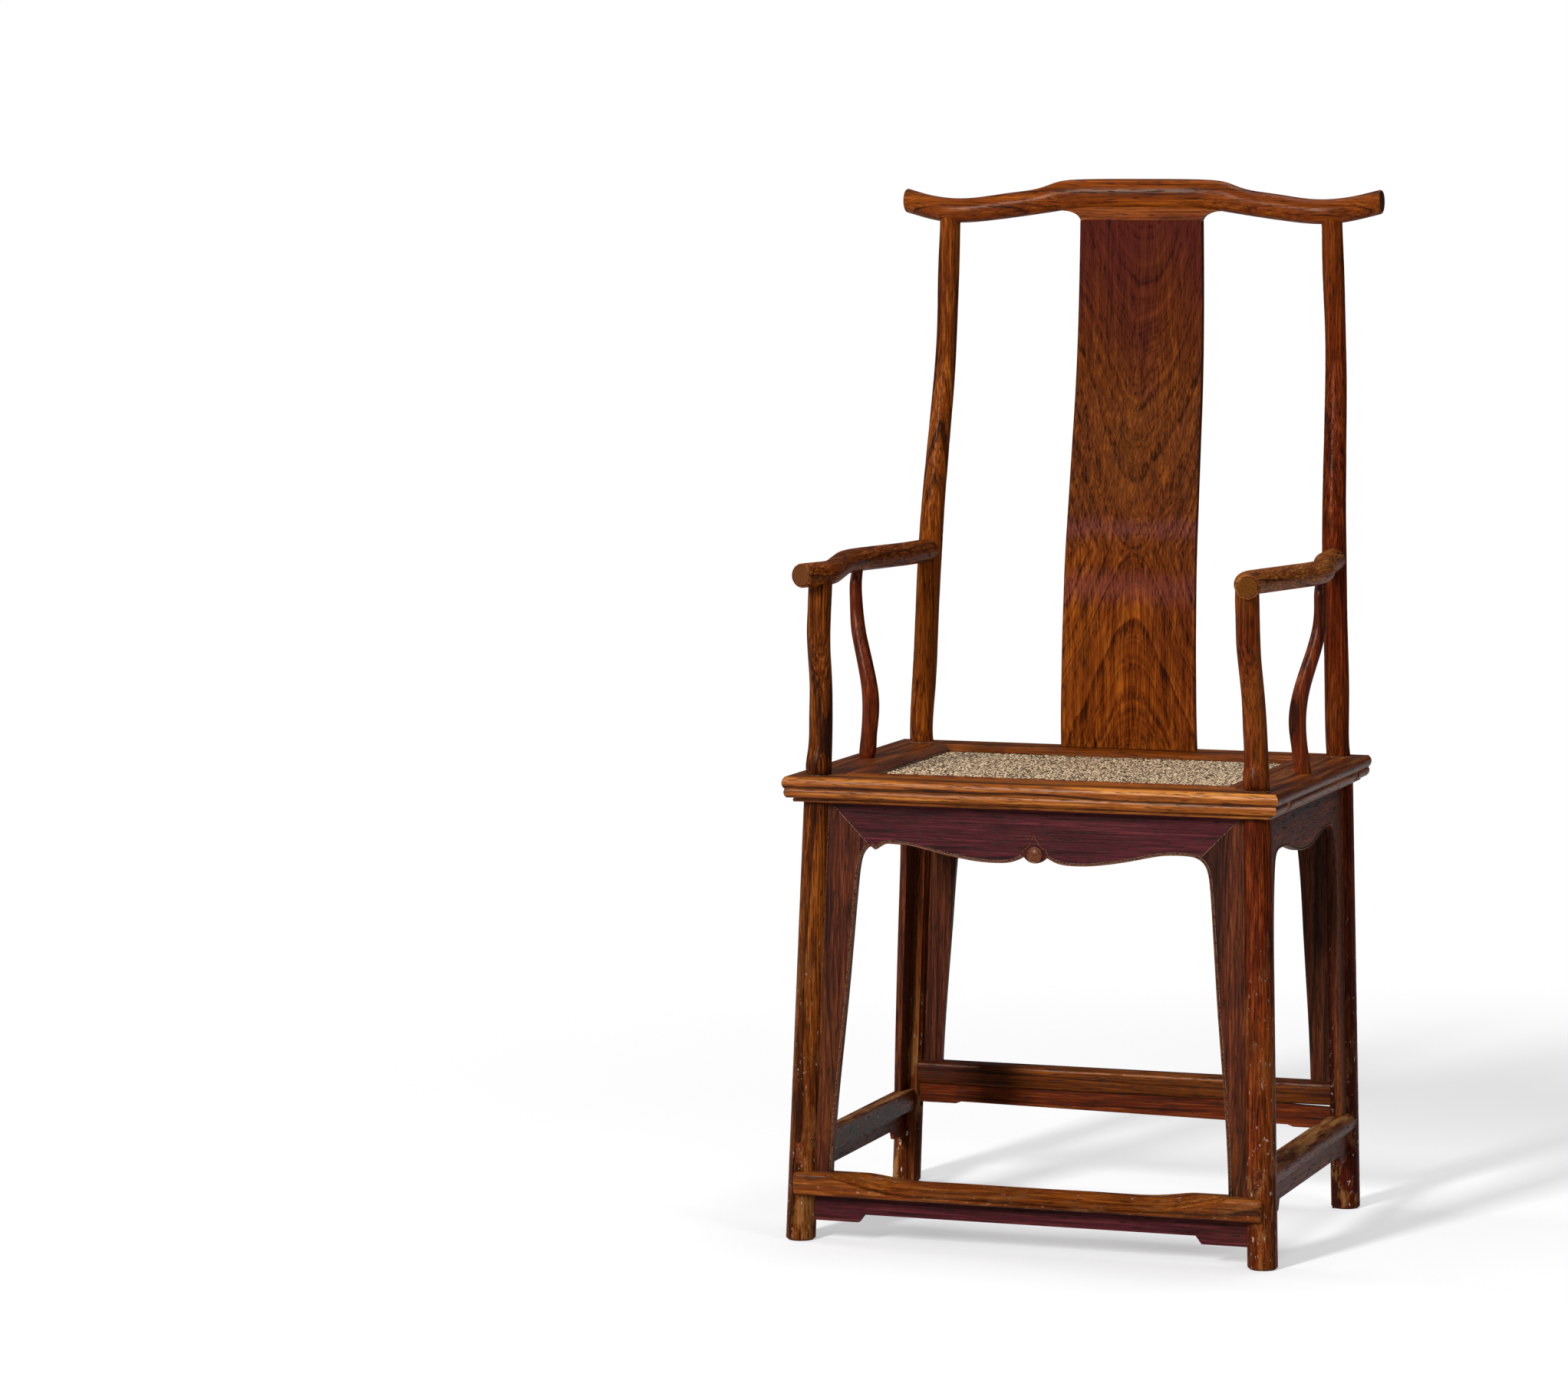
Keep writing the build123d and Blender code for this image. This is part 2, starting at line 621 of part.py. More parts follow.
mitres = {("front", -1): front_mitre, ("front", 1): front_mitre, ("side", -1): side_front_mitre,
          ("side", 1): side_rear_mitre, ("rear", -1): rear_mitre, ("rear", 1): rear_mitre}
spandrel_edges = {("front", -1): front_spandrel_edge, ("front", 1): front_spandrel_edge,
                  ("side", -1): side_front_spandrel_edge, ("side", 1): side_rear_spandrel_edge,
                  ("rear", -1): rear_spandrel_edge, ("rear", 1): rear_spandrel_edge}
planes = {"front": leg_plane((0, leg_y(FRONT, frame_bottom), frame_bottom), (0, leg_y(FRONT, 0), 0),
                             (1, 0, 0)),
          "rear": leg_plane((0, leg_y(REAR, frame_bottom), frame_bottom), (0, leg_y(REAR, 0), 0),
                            (-1, 0, 0)),
          "side": leg_plane((leg_x(frame_bottom), side_middle_y, frame_bottom),
                            (leg_x(0), side_middle_y, 0), (0, 1, 0))}


def half_span(where, sign, depth):
    """Leg centre from the middle of a side of the chair, at a depth under the frame.

    Sign -1 and +1 are the two ends of the plane's local x.
    """
    z = frame_bottom - depth
    if where == "side":
        return side_middle_y - leg_y(FRONT, z) if sign < 0 else leg_y(REAR, z) - side_middle_y
    return leg_x(z)


def board(outline, where, thickness=board_thickness, proud=board_proud):
    """Extrude a drawn outline inwards from the boards' outer face."""
    plane = planes[where]
    return extrude(plane.offset(proud) * outline, amount=thickness, dir=plane.z_dir * -1)


def level(piece, low, high):
    """Trim the ends of a slanting board to the level faces that it meets."""
    size = seat_width + seat_depth
    return piece & box_between((-size, -size, low), (size, size, high))


def flipped(edges):
    return [mirror(edge, about=Plane.YZ) for edge in edges]


def spandrel_outline(where, sign, foot_depth):
    """Upright board beside a leg, drawn on the +x side of its plane."""
    top, foot = half_span(where, sign, 0), half_span(where, sign, foot_depth)
    size, housed = mitres[where, sign], board_line - board_housing
    low, corner = (foot - housed, -foot_depth), (top - board_line - size, -size)
    inner_edge = [corner]
    for share, width in spandrel_edges[where, sign]:
        depth = size + (foot_depth - size) * share
        inner_edge.append((half_span(where, sign, depth) - width, -depth))
    edges = [Line(low, (top - housed, 0)), Line((top - housed, 0), (top - housed, trim)),
             Line((top - housed, trim), (top - board_line + trim, trim)),
             Line((top - board_line + trim, trim), corner),
             Spline(*inner_edge), Line(inner_edge[-1], low)]
    return make_face(edges if sign > 0 else flipped(edges))


def mitre_key(where, sign, grow=0.0):
    """Thin tongue of a spandrel across its mitre with the apron."""
    line, size = half_span(where, sign, 0) - board_line, mitres[where, sign]
    middle = board_proud - board_thickness / 2
    key = Box(size + 2 * grow, mitre_key_width + 2 * grow, mitre_key_thickness + 2 * grow)
    place = Pos(sign * (line - size / 2), -size / 2, middle) * Rot(0, 0, 45 * sign)
    return planes[where] * (place * key)


def apron_frame(where):
    """Top edge and mitred ends of an apron, with the inner corners of its mitres."""
    edges, tops, corners = [], [], []
    for sign in (-1, 1):
        line, size = half_span(where, sign, 0) - board_line, mitres[where, sign]
        tops.append((sign * (line + trim), trim))
        corners.append((sign * (line - size), -size))
        edges.append(Line(tops[-1], corners[-1]))
    return edges + [Line(*tops)], corners


def corner_points(corner, arch):
    """Rounded corner at the mitre, just short of the arch."""
    x, drop = corner[0], -corner[1] - arch
    return [corner, (x - 0.23 * arch_from_mitre, -arch - 0.36 * drop),
            (x - 0.53 * arch_from_mitre, -arch - 0.08 * drop)]


def chip_points(corner, arch):
    """The same corner where a splinter has gone and left a point beside the mitre."""
    x, y = corner
    return [corner, (x - 0.3 * chip_length, y - 0.4 * chip_drop), (x - 0.7 * chip_length, y - chip_drop),
            (x - chip_length, y - 0.55 * chip_drop), (x - 1.3 * chip_length, y - 0.13 * chip_drop),
            (x - 2.1 * chip_length, -arch - 0.4)]


def wave_points(crown, arch, dip, flat):
    """From the top of the arch down to the lowest point."""
    span, fall = crown - flat, dip - arch
    waves = [(crown - span * along, -arch - fall * down) for along, down in apron_wave]
    return [(crown, -arch), *waves, (flat, -dip)]


def lip_points(shift):
    """Edge from a lowest point of the front apron up to the notch beside the bud."""
    shares = ((1.96, 0.27), (1.47, 0.59), (1.0, 1.0))
    return [(shift + bud_notch * along, bud_notch_rise * up - front_apron_dip) for along, up in shares]


def front_half(crown, shift):
    """Wave of the front apron from its arch to the notch beside the bud."""
    waves = wave_points(crown, front_apron_arch, front_apron_dip, bud_to_dip + shift)
    return waves + lip_points(shift)


def front_apron_outline():
    edges, (left_corner, corner) = apron_frame("front")
    edges.append(Spline(*corner_points(corner, front_apron_arch),
                        *front_half(corner[0] - arch_from_mitre, bud_offset)))
    chip = chip_points((-left_corner[0], left_corner[1]), front_apron_arch)
    wave = front_half(chip[0][0] - 1.15 * arch_from_mitre, -bud_offset)
    edges += flipped([Line(chip[0], chip[1]), Line(chip[1], chip[2]), Spline(*chip[2:], *wave)])
    notch_y = bud_notch_rise - front_apron_dip
    edges.append(ThreePointArc((bud_offset - bud_notch, notch_y), (bud_offset, bud_rise - front_apron_dip),
                               (bud_offset + bud_notch, notch_y)))
    return make_face(edges)


def bud():
    """Round bud that stands out of the front apron between its notches."""
    y = bud_radius + bud_rim + bud_rise - front_apron_dip
    disc_face = Pos(bud_offset, y) * Circle(bud_radius)
    return extrude(planes["front"].offset(board_proud) * disc_face, amount=bud_height,
                   dir=planes["front"].z_dir)


def side_apron_outline():
    edges, (front_corner, rear_corner) = apron_frame("side")
    halves = []
    for corner in (rear_corner, (-front_corner[0], front_corner[1])):
        waves = wave_points(corner[0] - arch_from_mitre, side_apron_arch, side_apron_dip, 0)
        halves.append(corner_points(corner, side_apron_arch) + waves)
    mirrored = [(-x, y) for x, y in reversed(halves[1][:-1])]
    return make_face(edges + [Spline(*halves[0], *mirrored)])


def rear_apron_outline():
    edges, corners = apron_frame("rear")
    edges.append(ThreePointArc(corners[0], (0, -rear_apron_height), corners[1]))
    return make_face(edges)


def apron_tongue_bar(where, grow=0.0):
    """Tongue along the top of an apron, standing in the seat frame."""
    half = apron_tongue_thickness / 2 + grow
    middle = board_proud - board_thickness / 2
    left, right = (half_span(where, sign, 0) - reach + grow for sign in (-1, 1))
    return planes[where] * box_between((-left, -1, middle - half),
                                       (right, apron_tongue + grow, middle + half))


# ---- Stretchers -----------------------------------------------------------------------
foot_rail_z = foot_rail_top - foot_rail_height / 2
side_stretcher_z = side_stretcher_top - side_stretcher_height / 2
rear_stretcher_z = rear_stretcher_top - rear_stretcher_height / 2
foot_rail_front = leg_y(FRONT, foot_rail_z) - foot_rail_proud
foot_rail_half = leg_x(foot_rail_z) + foot_rail_overhang


def wear_cutter():
    """Hollow in the front arris of the foot rail: flat in the middle, rising to its ends."""
    points = [(foot_rail_half * share, foot_rail_wear * (1 - worn)) for share, worn in wear_curve]
    curve = Spline(*[(-x, z) for x, z in reversed(points[1:])], *points)
    end_x, end_z = points[-1]
    roof = 3 * foot_rail_height
    face = make_face([curve, Polyline((end_x, end_z), (end_x, roof), (-end_x, roof), (-end_x, end_z))])
    slab = extrude(Plane.XZ * face, amount=2 * foot_rail_depth, both=True)
    tilted = Rot(foot_rail_wear_slope, 0, 0) * (Pos(0, 0, -foot_rail_wear) * slab)
    return Pos(0, foot_rail_front, foot_rail_top) * tilted


def foot_rail_bar():
    """Bar that laps over the front of both legs."""
    outline = Pos(foot_rail_front + foot_rail_depth / 2, foot_rail_z) * RectangleRounded(
        foot_rail_depth, foot_rail_height, foot_rail_corner)
    bar = extrude(Plane.YZ * outline, amount=foot_rail_half, both=True)
    ends = bar.faces().sort_by(Axis.X)
    return fillet(ends[0].edges() + ends[-1].edges(), foot_rail_corner * 0.8)


def side_stretcher_bar():
    """Flat on the inner face and round on the outer one."""
    front, rear = leg_y(FRONT, side_stretcher_z), leg_y(REAR, side_stretcher_z)
    place = Plane(origin=(leg_x(side_stretcher_z), front, side_stretcher_z), x_dir=(1, 0, 0),
                  z_dir=(0, -1, 0))
    flat_end = side_stretcher_outer - side_stretcher_round
    outline = Pos(flat_end, 0) * Ellipse(side_stretcher_round, side_stretcher_height / 2)
    outline += Pos((flat_end - side_stretcher_inner) / 2, 0) * Rectangle(
        flat_end + side_stretcher_inner, side_stretcher_height)
    bar = extrude(place * outline, amount=rear - front, dir=(0, 1, 0))
    return fillet(bar.edges().filter_by(Axis.Y).sort_by(Axis.X)[:2], side_stretcher_arris)


def side_stretcher_tenon(grow=0.0):
    """Through tenons that show on the front and back of the legs."""
    x, z = leg_x(side_stretcher_z), side_stretcher_z
    half_x, half_z = stretcher_tenon_thickness / 2 + grow, side_stretcher_height / 2 - 0.5 + grow
    out = leg_foot_diameter / 2 + grow * reach
    return box_between((x - half_x, leg_y(FRONT, z) - out, z - half_z),
                       (x + half_x, leg_y(REAR, z) + out, z + half_z))


def rear_stretcher_bar():
    outline = Pos(leg_y(REAR, rear_stretcher_z), rear_stretcher_z) * RectangleRounded(
        rear_stretcher_width, rear_stretcher_height, rear_stretcher_corner)
    return extrude(Plane.YZ * outline, amount=leg_x(rear_stretcher_z), both=True)


def blind_tenons(end, z, height, grow=0.0):
    """Tenons at both ends of a cross stretcher, running into the legs."""
    tip = leg_x(z) - board_line + blind_tenon_depth + grow
    half_y, half_z = stretcher_tenon_thickness / 2 + grow, 0.36 * height + grow
    y = leg_y(end, z)
    return box_between((-tip, y - half_y, z - half_z), (tip, y + half_y, z + half_z))


def under_apron_outline(where, top, height, drop, end_length, grow=0.0):
    """Board with deeper ends that hangs under a stretcher, housed in both legs."""
    depth = frame_bottom - top
    middle, deep = depth + height, depth + height + drop + grow
    housed = board_line - board_housing - grow
    left, right = [], []
    for sign, points in ((-1, left), (1, right)):
        fall = -sign * rear_under_tilt if where == "rear" else 0.0
        top_edge, low_edge = (half_span(where, sign, d) - housed for d in (depth, deep + fall))
        step = half_span(where, sign, deep + fall) - end_length
        points += [(sign * top_edge, trim - depth), (sign * low_edge, -deep - fall),
                   (sign * step, -deep - fall), (sign * (step - under_apron_notch), -middle - fall)]
    return make_face(Polyline(*left, *reversed(right), close=True))


def under_board(where, outline, grow=0.0):
    thickness, proud = under_places[where]
    return board(outline, where, thickness + 2 * grow, proud + grow)


def under_tongue(where, top, grow=0.0):
    depth = frame_bottom - top
    thickness, proud = under_places[where]
    middle = proud - thickness / 2
    half = under_apron_tongue_thickness / 2 + grow
    left, right = (half_span(where, sign, depth) - reach + grow for sign in (-1, 1))
    return planes[where] * box_between((-left, -depth - 1, middle - half),
                                       (right, -depth + under_apron_tongue + grow, middle + half))


def rear_gap_wedge():
    """Opening between the rear stretcher and the right end of its board."""
    depth = frame_bottom - under_boards["rear"][0]
    outer = half_span("rear", -1, depth)
    points = [(-0.6 * outer, trim - depth), (-0.6 * outer, -depth), (-outer, -depth - rear_under_gap),
              (-outer, trim - depth)]
    return under_board("rear", make_face(Polyline(*points, close=True)), joint_gap)


# ---- Shared joint cutters ---------------------------------------------------------------
spandrel_foot = {"front": foot_rail_top, "side": side_stretcher_top, "rear": rear_stretcher_top}
under_boards = {
    "front": (foot_rail_top - foot_rail_height, front_under_apron, front_under_drop, front_under_end),
    "side": (side_stretcher_top - side_stretcher_height, side_under_apron, side_under_drop,
             side_under_end),
    "rear": (rear_stretcher_top - rear_stretcher_height - rear_under_slit, rear_under_apron,
             rear_under_drop, rear_under_end)}
under_places = {"front": (under_apron_thickness, under_apron_proud),
                "side": (side_under_thickness, side_under_proud),
                "rear": (under_apron_thickness, under_apron_proud)}


def housings(where, sign):
    """Grooves in a leg for the edges of a spandrel and of the board under a stretcher."""
    foot_z = spandrel_foot[where]
    foot_depth = frame_bottom - foot_z + trim
    near = board_line - board_housing - joint_gap
    top, foot = half_span(where, sign, 0), half_span(where, sign, foot_depth)
    points = [(sign * (top - near), 1), (sign * (top - reach), 1),
              (sign * (foot - reach), -foot_depth), (sign * (foot - near), -foot_depth)]
    groove = board(make_face(Polyline(*points, close=True)), where,
                   board_thickness + 2 * joint_gap, board_proud + joint_gap)
    top_z, height, drop, end_length = under_boards[where]
    outline = under_apron_outline(where, top_z, height, drop, end_length, joint_gap)
    return [level(groove, foot_z, seat_height), level(under_board(where, outline, joint_gap), 0, top_z)]


# ---- Pieces -----------------------------------------------------------------------------
pieces = {}


def add(name, solid):
    pieces[name] = solid


def add_pair(name, right):
    add(name + "_right", right)
    add(name + "_left", left_of(right))


def make_legs():
    """Each leg and the post above the seat are one timber."""
    foot_tenons = blind_tenons(FRONT, foot_rail_z, foot_rail_height, joint_gap)
    rear_tenons = blind_tenons(REAR, rear_stretcher_z, rear_stretcher_height, joint_gap)
    front = leg(FRONT) + front_post() - arm_bar(joint_gap) + arm_pin(front_post_top)
    front -= housings("front", 1) + housings("side", -1)
    front -= [side_stretcher_tenon(joint_gap), foot_tenons]
    add_pair("front_leg", front)
    rear = leg(REAR) + rear_post() - crest_bar(joint_gap) + crest_pin()
    rear -= housings("rear", -1) + housings("side", 1)
    rear -= [side_stretcher_tenon(joint_gap), rear_tenons, arm_rear_tenon(joint_gap)]
    add_pair("rear_leg", rear)


def make_arms():
    add_pair("side_post", side_post() - arm_bar(joint_gap) + arm_pin(side_post_top) + side_post_pin())
    arm = arm_bar()
    arm = fillet(arm.edges().sort_by(Axis.Y)[0], arm_end_rounding)
    arm = arm - rear_post(joint_gap) + arm_rear_tenon()
    arm -= [arm_pin(front_post_top, joint_gap), arm_pin(side_post_top, joint_gap)]
    add_pair("armrest", arm)


def make_back():
    crest = crest_bar()
    ends = crest.edges().sort_by(Axis.X)
    crest = fillet([ends[0], ends[-1]], crest_end_rounding) + crest_lip()
    crest -= [head_tongue(joint_gap), both_sides(crest_pin(joint_gap))]
    add("crest_rail", crest)
    add("back_splat", (splat_plate() & splat_front_view()) + foot_tongue() + head_tongue())


def make_seat_frame():
    """Long front and rear rails with tenons, and side rails that take them."""
    necks = [both_sides(neck(end, joint_gap, 1.0)) for end in (FRONT, REAR)]
    plugs, pegs = plug_places(), peg_places()

    def drilled(where):
        holes = [post_between(x, y, frame_bottom - 1, seat_height, plug_diameter + 2 * joint_gap)
                 for x, y in plugs[where]]
        return holes + [post_between(x, y, ledge_z - peg_depth - joint_gap, seat_height + 1,
                                     peg_diameter + 2 * joint_gap) for x, y in pegs[where]]

    for name, end in (("front", FRONT), ("rear", REAR)):
        plane = edge_plane((0, end, 0), seat_depth / 2, seat_width / 2, frame_bottom)
        outline = plane * rail_section(long_rail_width, long_rail_face)
        rail = extrude(outline, amount=seat_width, dir=plane.z_dir) & rail_block(end)
        rail += both_sides(rail_tenon(end))
        rail -= necks + drilled(name)
        rail -= [apron_tongue_bar(name, joint_gap), both_sides(brace_tenon(end, joint_gap))]
        if end == REAR:
            rail -= foot_tongue(joint_gap)
        add("seat_rail_" + name, rail)

    plane = edge_plane((1, 0, 0), seat_width / 2, seat_depth / 2, frame_bottom)
    outline = plane * rail_section(short_rail_width, short_rail_face)
    rail = extrude(outline, amount=seat_depth, dir=plane.z_dir)
    rail -= [rail_block(FRONT), rail_block(REAR), side_post_pin(joint_gap)]
    rail -= [rail_tenon(FRONT, joint_gap), rail_tenon(REAR, joint_gap)]
    rail -= necks + drilled("side") + [apron_tongue_bar("side", joint_gap)]
    add_pair("seat_rail", rail)


def make_seat_surface():
    """Braces, webbing and its plugs, the mat, its cover strips and their pegs."""
    add_pair("seat_brace", brace() + brace_tenon(FRONT) + brace_tenon(REAR))
    add("palm_webbing", sheet_between(opening_half_x + webbing_lap, opening_half_y + webbing_lap,
                                      webbing_z, webbing_thickness))
    pegs, plugs = peg_places(), plug_places()
    peg_top = strip_z + strip_height
    side_cutters = [post_between(x, y, mat_z - 1, peg_top + 1, peg_diameter + 2 * joint_gap)
                    for x, y in pegs["side"]]
    peg_cutters = [post_between(x, y, mat_z - 1, peg_top + 1, peg_diameter + 2 * joint_gap)
                   for x, y in pegs["front"] + pegs["rear"]]
    peg_cutters += side_cutters + [left_of(cutter) for cutter in side_cutters]
    mat = sheet_between(strip_half_x - mat_edge_gap, strip_half_y - mat_edge_gap, mat_z, mat_thickness)
    add("cane_mat", mat - peg_cutters)
    blocks = [strip_block(FRONT), strip_block(REAR)]
    add("mat_strip_front", (strip_bar((0, -1, 0)) & blocks[0]) - peg_cutters)
    add("mat_strip_rear", (strip_bar((0, 1, 0)) & blocks[1]) - peg_cutters)
    add_pair("mat_strip", strip_bar((1, 0, 0)) - (blocks + peg_cutters))

    def group(places, low, high, diameter):
        right = [post_between(x, y, low, high, diameter) for x, y in places["side"]]
        ends = [post_between(x, y, low, high, diameter) for x, y in places["front"] + places["rear"]]
        pins = ends + right + [left_of(pin) for pin in right]
        return Compound([pin.solid() for pin in pins])

    add("strip_pegs", group(pegs, ledge_z - peg_depth, peg_top, peg_diameter))
    add("webbing_plugs", group(plugs, frame_bottom, frame_bottom + plug_length, plug_diameter))


def make_boards():
    """Aprons and spandrels that frame each side below the seat."""
    outlines = {"front": front_apron_outline(), "side": side_apron_outline(),
                "rear": rear_apron_outline()}
    names = {"front": ("front_left", "front_right"), "side": ("right_front", "right_rear"),
             "rear": ("rear_right", "rear_left")}
    for where, outline in outlines.items():
        apron = level(board(outline, where), 0, frame_bottom) + apron_tongue_bar(where)
        apron -= [mitre_key(where, -1, joint_gap), mitre_key(where, 1, joint_gap)]
        if where == "front":
            apron += bud()
        foot_z = spandrel_foot[where]
        spandrels = []
        for sign in (-1, 1):
            blank = board(spandrel_outline(where, sign, frame_bottom - foot_z + trim), where)
            spandrels.append(level(blank, foot_z, frame_bottom) + mitre_key(where, sign))
        if where == "side":
            add_pair("apron", apron)
        else:
            add("apron_" + where, apron)
        for name, piece in zip(names[where], spandrels):
            add("spandrel_" + name, piece)
            if where == "side":
                add("spandrel_" + name.replace("right", "left"), left_of(piece))


def splice_patch():
    """A repair: the foot of the front left spandrel is let in on a slant."""
    foot_depth = frame_bottom - foot_rail_top + trim
    high, low = foot_depth - patch_length, foot_depth - 0.55 * patch_length
    outer = half_span("front", -1, foot_depth)
    inner = outer - 2 * reach
    points = [(-inner, -low), (-outer, -high), (-outer, -foot_depth), (-inner, -foot_depth)]
    block = board(make_face(Polyline(*points, close=True)), "front", board_thickness + 2, board_proud + 1)
    whole = pieces["spandrel_front_left"]
    add("spandrel_patch", whole & block)
    add("spandrel_front_left", whole - block)


def make_stretchers():
    front_leg_solid, rear_leg_solid = leg(FRONT, joint_gap), leg(REAR, joint_gap)
    foot_rail = foot_rail_bar() - wear_cutter() - both_sides(front_leg_solid)
    foot_rail += blind_tenons(FRONT, foot_rail_z, foot_rail_height) - wear_cutter()
    side = side_stretcher_bar() - [front_leg_solid, rear_leg_solid] + side_stretcher_tenon()
    rear = rear_stretcher_bar() - both_sides(rear_leg_solid)
    rear += blind_tenons(REAR, rear_stretcher_z, rear_stretcher_height)
    boards = {}
    for where, (top, height, drop, end_length) in under_boards.items():
        outline = under_apron_outline(where, top, height, drop, end_length)
        boards[where] = level(under_board(where, outline), 0, top)
        if where != "rear":
            boards[where] += under_tongue(where, top)
    add("foot_rail", foot_rail - under_tongue("front", under_boards["front"][0], joint_gap))
    add_pair("stretcher", side - under_tongue("side", under_boards["side"][0], joint_gap))
    add("stretcher_rear", rear)
    add("foot_rail_apron", boards["front"])
    add_pair("stretcher_apron", boards["side"])
    add("stretcher_apron_rear", boards["rear"] - rear_gap_wedge())


make_legs()
make_arms()
make_back()
make_seat_frame()
make_seat_surface()
make_boards()
splice_patch()
make_stretchers()

# The origin is the middle of the chair's footprint box, on the floor.
whole = Compound([solid for piece in pieces.values() for solid in piece.solids()])
bounds = whole.bounding_box()
to_origin = Pos(-bounds.center().X, -bounds.center().Y, -bounds.min.Z)
print("size", bounds.size, "shift", to_origin.position)

os.makedirs("parts", exist_ok=True)
for name, piece in pieces.items():
    placed = to_origin * piece
    placed.label = name
    export_step(placed, "parts/" + name + ".step")
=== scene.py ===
import math

import bmesh
import bpy
import numpy as np
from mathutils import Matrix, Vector


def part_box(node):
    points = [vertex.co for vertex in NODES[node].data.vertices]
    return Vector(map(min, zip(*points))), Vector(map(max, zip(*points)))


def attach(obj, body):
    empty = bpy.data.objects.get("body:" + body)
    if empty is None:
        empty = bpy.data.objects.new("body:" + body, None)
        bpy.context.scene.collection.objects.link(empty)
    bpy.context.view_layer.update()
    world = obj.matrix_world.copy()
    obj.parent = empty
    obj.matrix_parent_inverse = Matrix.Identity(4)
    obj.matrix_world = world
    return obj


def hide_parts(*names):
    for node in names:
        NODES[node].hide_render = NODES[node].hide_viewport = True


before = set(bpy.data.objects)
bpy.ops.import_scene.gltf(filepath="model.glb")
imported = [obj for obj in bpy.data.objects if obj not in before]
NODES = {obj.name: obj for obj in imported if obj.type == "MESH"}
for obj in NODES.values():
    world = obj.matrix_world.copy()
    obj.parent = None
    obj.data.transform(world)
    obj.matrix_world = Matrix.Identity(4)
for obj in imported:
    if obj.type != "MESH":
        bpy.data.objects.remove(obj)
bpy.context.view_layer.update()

# ---------------------------------------------------------------- camera

camera = bpy.data.objects.new("camera", bpy.data.cameras.new("camera"))
bpy.context.scene.collection.objects.link(camera)
camera.location = (1.8109, -6.3093, 1.2371)
camera.rotation_euler = (math.radians(84.551), 0.0, math.radians(19.022))
camera.data.lens = 131.39
camera.data.sensor_width = 36.0
camera.data.shift_y = 0.00137
camera.data.clip_start = 0.1
camera.data.clip_end = 100.0
bpy.context.scene.camera = camera
bpy.context.scene.view_settings.view_transform = "Standard"


# ---------------------------------------------------------------- node helper


class Net:
    """A node tree with short calls for the nodes that the materials use."""

    def __init__(self, tree):
        self.tree = tree
        tree.nodes.clear()

    def new(self, kind, **props):
        node = self.tree.nodes.new(kind)
        for key, value in props.items():
            setattr(node, key, value)
        return node

    def put(self, socket, value):
        if value is None:
            return
        if hasattr(value, "is_output"):
            self.tree.links.new(value, socket)
        elif hasattr(socket.default_value, "__len__"):
            size = len(socket.default_value)
            given = list(value) if hasattr(value, "__len__") else [value] * 3
            socket.default_value = (given + [1.0])[:size]
        else:
            socket.default_value = value

    def math(self, operation, a, b=None):
        node = self.new("ShaderNodeMath", operation=operation)
        for socket, value in zip(node.inputs, (a, b)):
            self.put(socket, value)
        return node.outputs[0]

    def add(self, a, b):
        return self.math("ADD", a, b)

    def sub(self, a, b):
        return self.math("SUBTRACT", a, b)

    def times(self, a, b):
        return self.math("MULTIPLY", a, b)

    def vector(self, operation, a, b=None):
        node = self.new("ShaderNodeVectorMath", operation=operation)
        self.put(node.inputs[0], a)
        self.put(node.inputs[1], b)
        return node.outputs["Value" if operation in ("LENGTH", "DOT_PRODUCT") else "Vector"]

    def combine(self, x, y, z):
        node = self.new("ShaderNodeCombineXYZ")
        for socket, value in zip(node.inputs, (x, y, z)):
            self.put(socket, value)
        return node.outputs[0]

    def split(self, vector):
        node = self.new("ShaderNodeSeparateXYZ")
        self.put(node.inputs[0], vector)
        return node.outputs

    def noise(self, vector, scale=1.0, detail=3.0, rough=0.55, dims="3D", w=None):
        node = self.new("ShaderNodeTexNoise", noise_dimensions=dims)
        if dims != "1D":
            self.put(node.inputs["Vector"], vector)
        if w is not None:
            self.put(node.inputs["W"], w)
        self.put(node.inputs["Scale"], scale)
        self.put(node.inputs["Detail"], detail)
        self.put(node.inputs["Roughness"], rough)
        return node.outputs["Fac"]

    def grain(self, here, across, along, detail=3.0, rough=0.55):
        """Noise drawn out along the fibres, in cycles per metre across and along them."""
        drawn = self.vector("MULTIPLY", here, (across, across, along))
        return self.noise(drawn, 1.0, detail, rough)

    def cells(self, vector, scale):
        node = self.new("ShaderNodeTexVoronoi", feature="F1")
        self.put(node.inputs["Vector"], vector)
        self.put(node.inputs["Scale"], scale)
        return node.outputs["Distance"]

    def span(self, value, low, high, to_low=0.0, to_high=1.0, smooth=False):
        node = self.new("ShaderNodeMapRange", clamp=True)
        node.interpolation_type = "SMOOTHSTEP" if smooth else "LINEAR"
        for socket, given in zip(node.inputs, (value, low, high, to_low, to_high)):
            self.put(socket, given)
        return node.outputs[0]

    def ramp(self, value, stops, mode="LINEAR"):
        node = self.new("ShaderNodeValToRGB")
        node.color_ramp.interpolation = mode
        band = node.color_ramp.elements
        while len(band) < len(stops):
            band.new(0.5)
        for element, (at, colour) in zip(band, stops):
            element.position = at
            element.color = (*colour, 1.0)
        self.put(node.inputs[0], value)
        return node.outputs[0]

    def mix(self, factor, a, b, blend="MIX"):
        node = self.new("ShaderNodeMix", data_type="RGBA", blend_type=blend)
        self.put(node.inputs[0], factor)
        self.put(node.inputs[6], a)
        self.put(node.inputs[7], b)
        return node.outputs[2]


def material(name):
    made = bpy.data.materials.new(name)
    made.use_nodes = True
    return made, Net(made.node_tree)


# ---------------------------------------------------------------- wood

AXES = {"x": (1, 2, 0), "y": (2, 0, 1), "z": (0, 1, 2)}
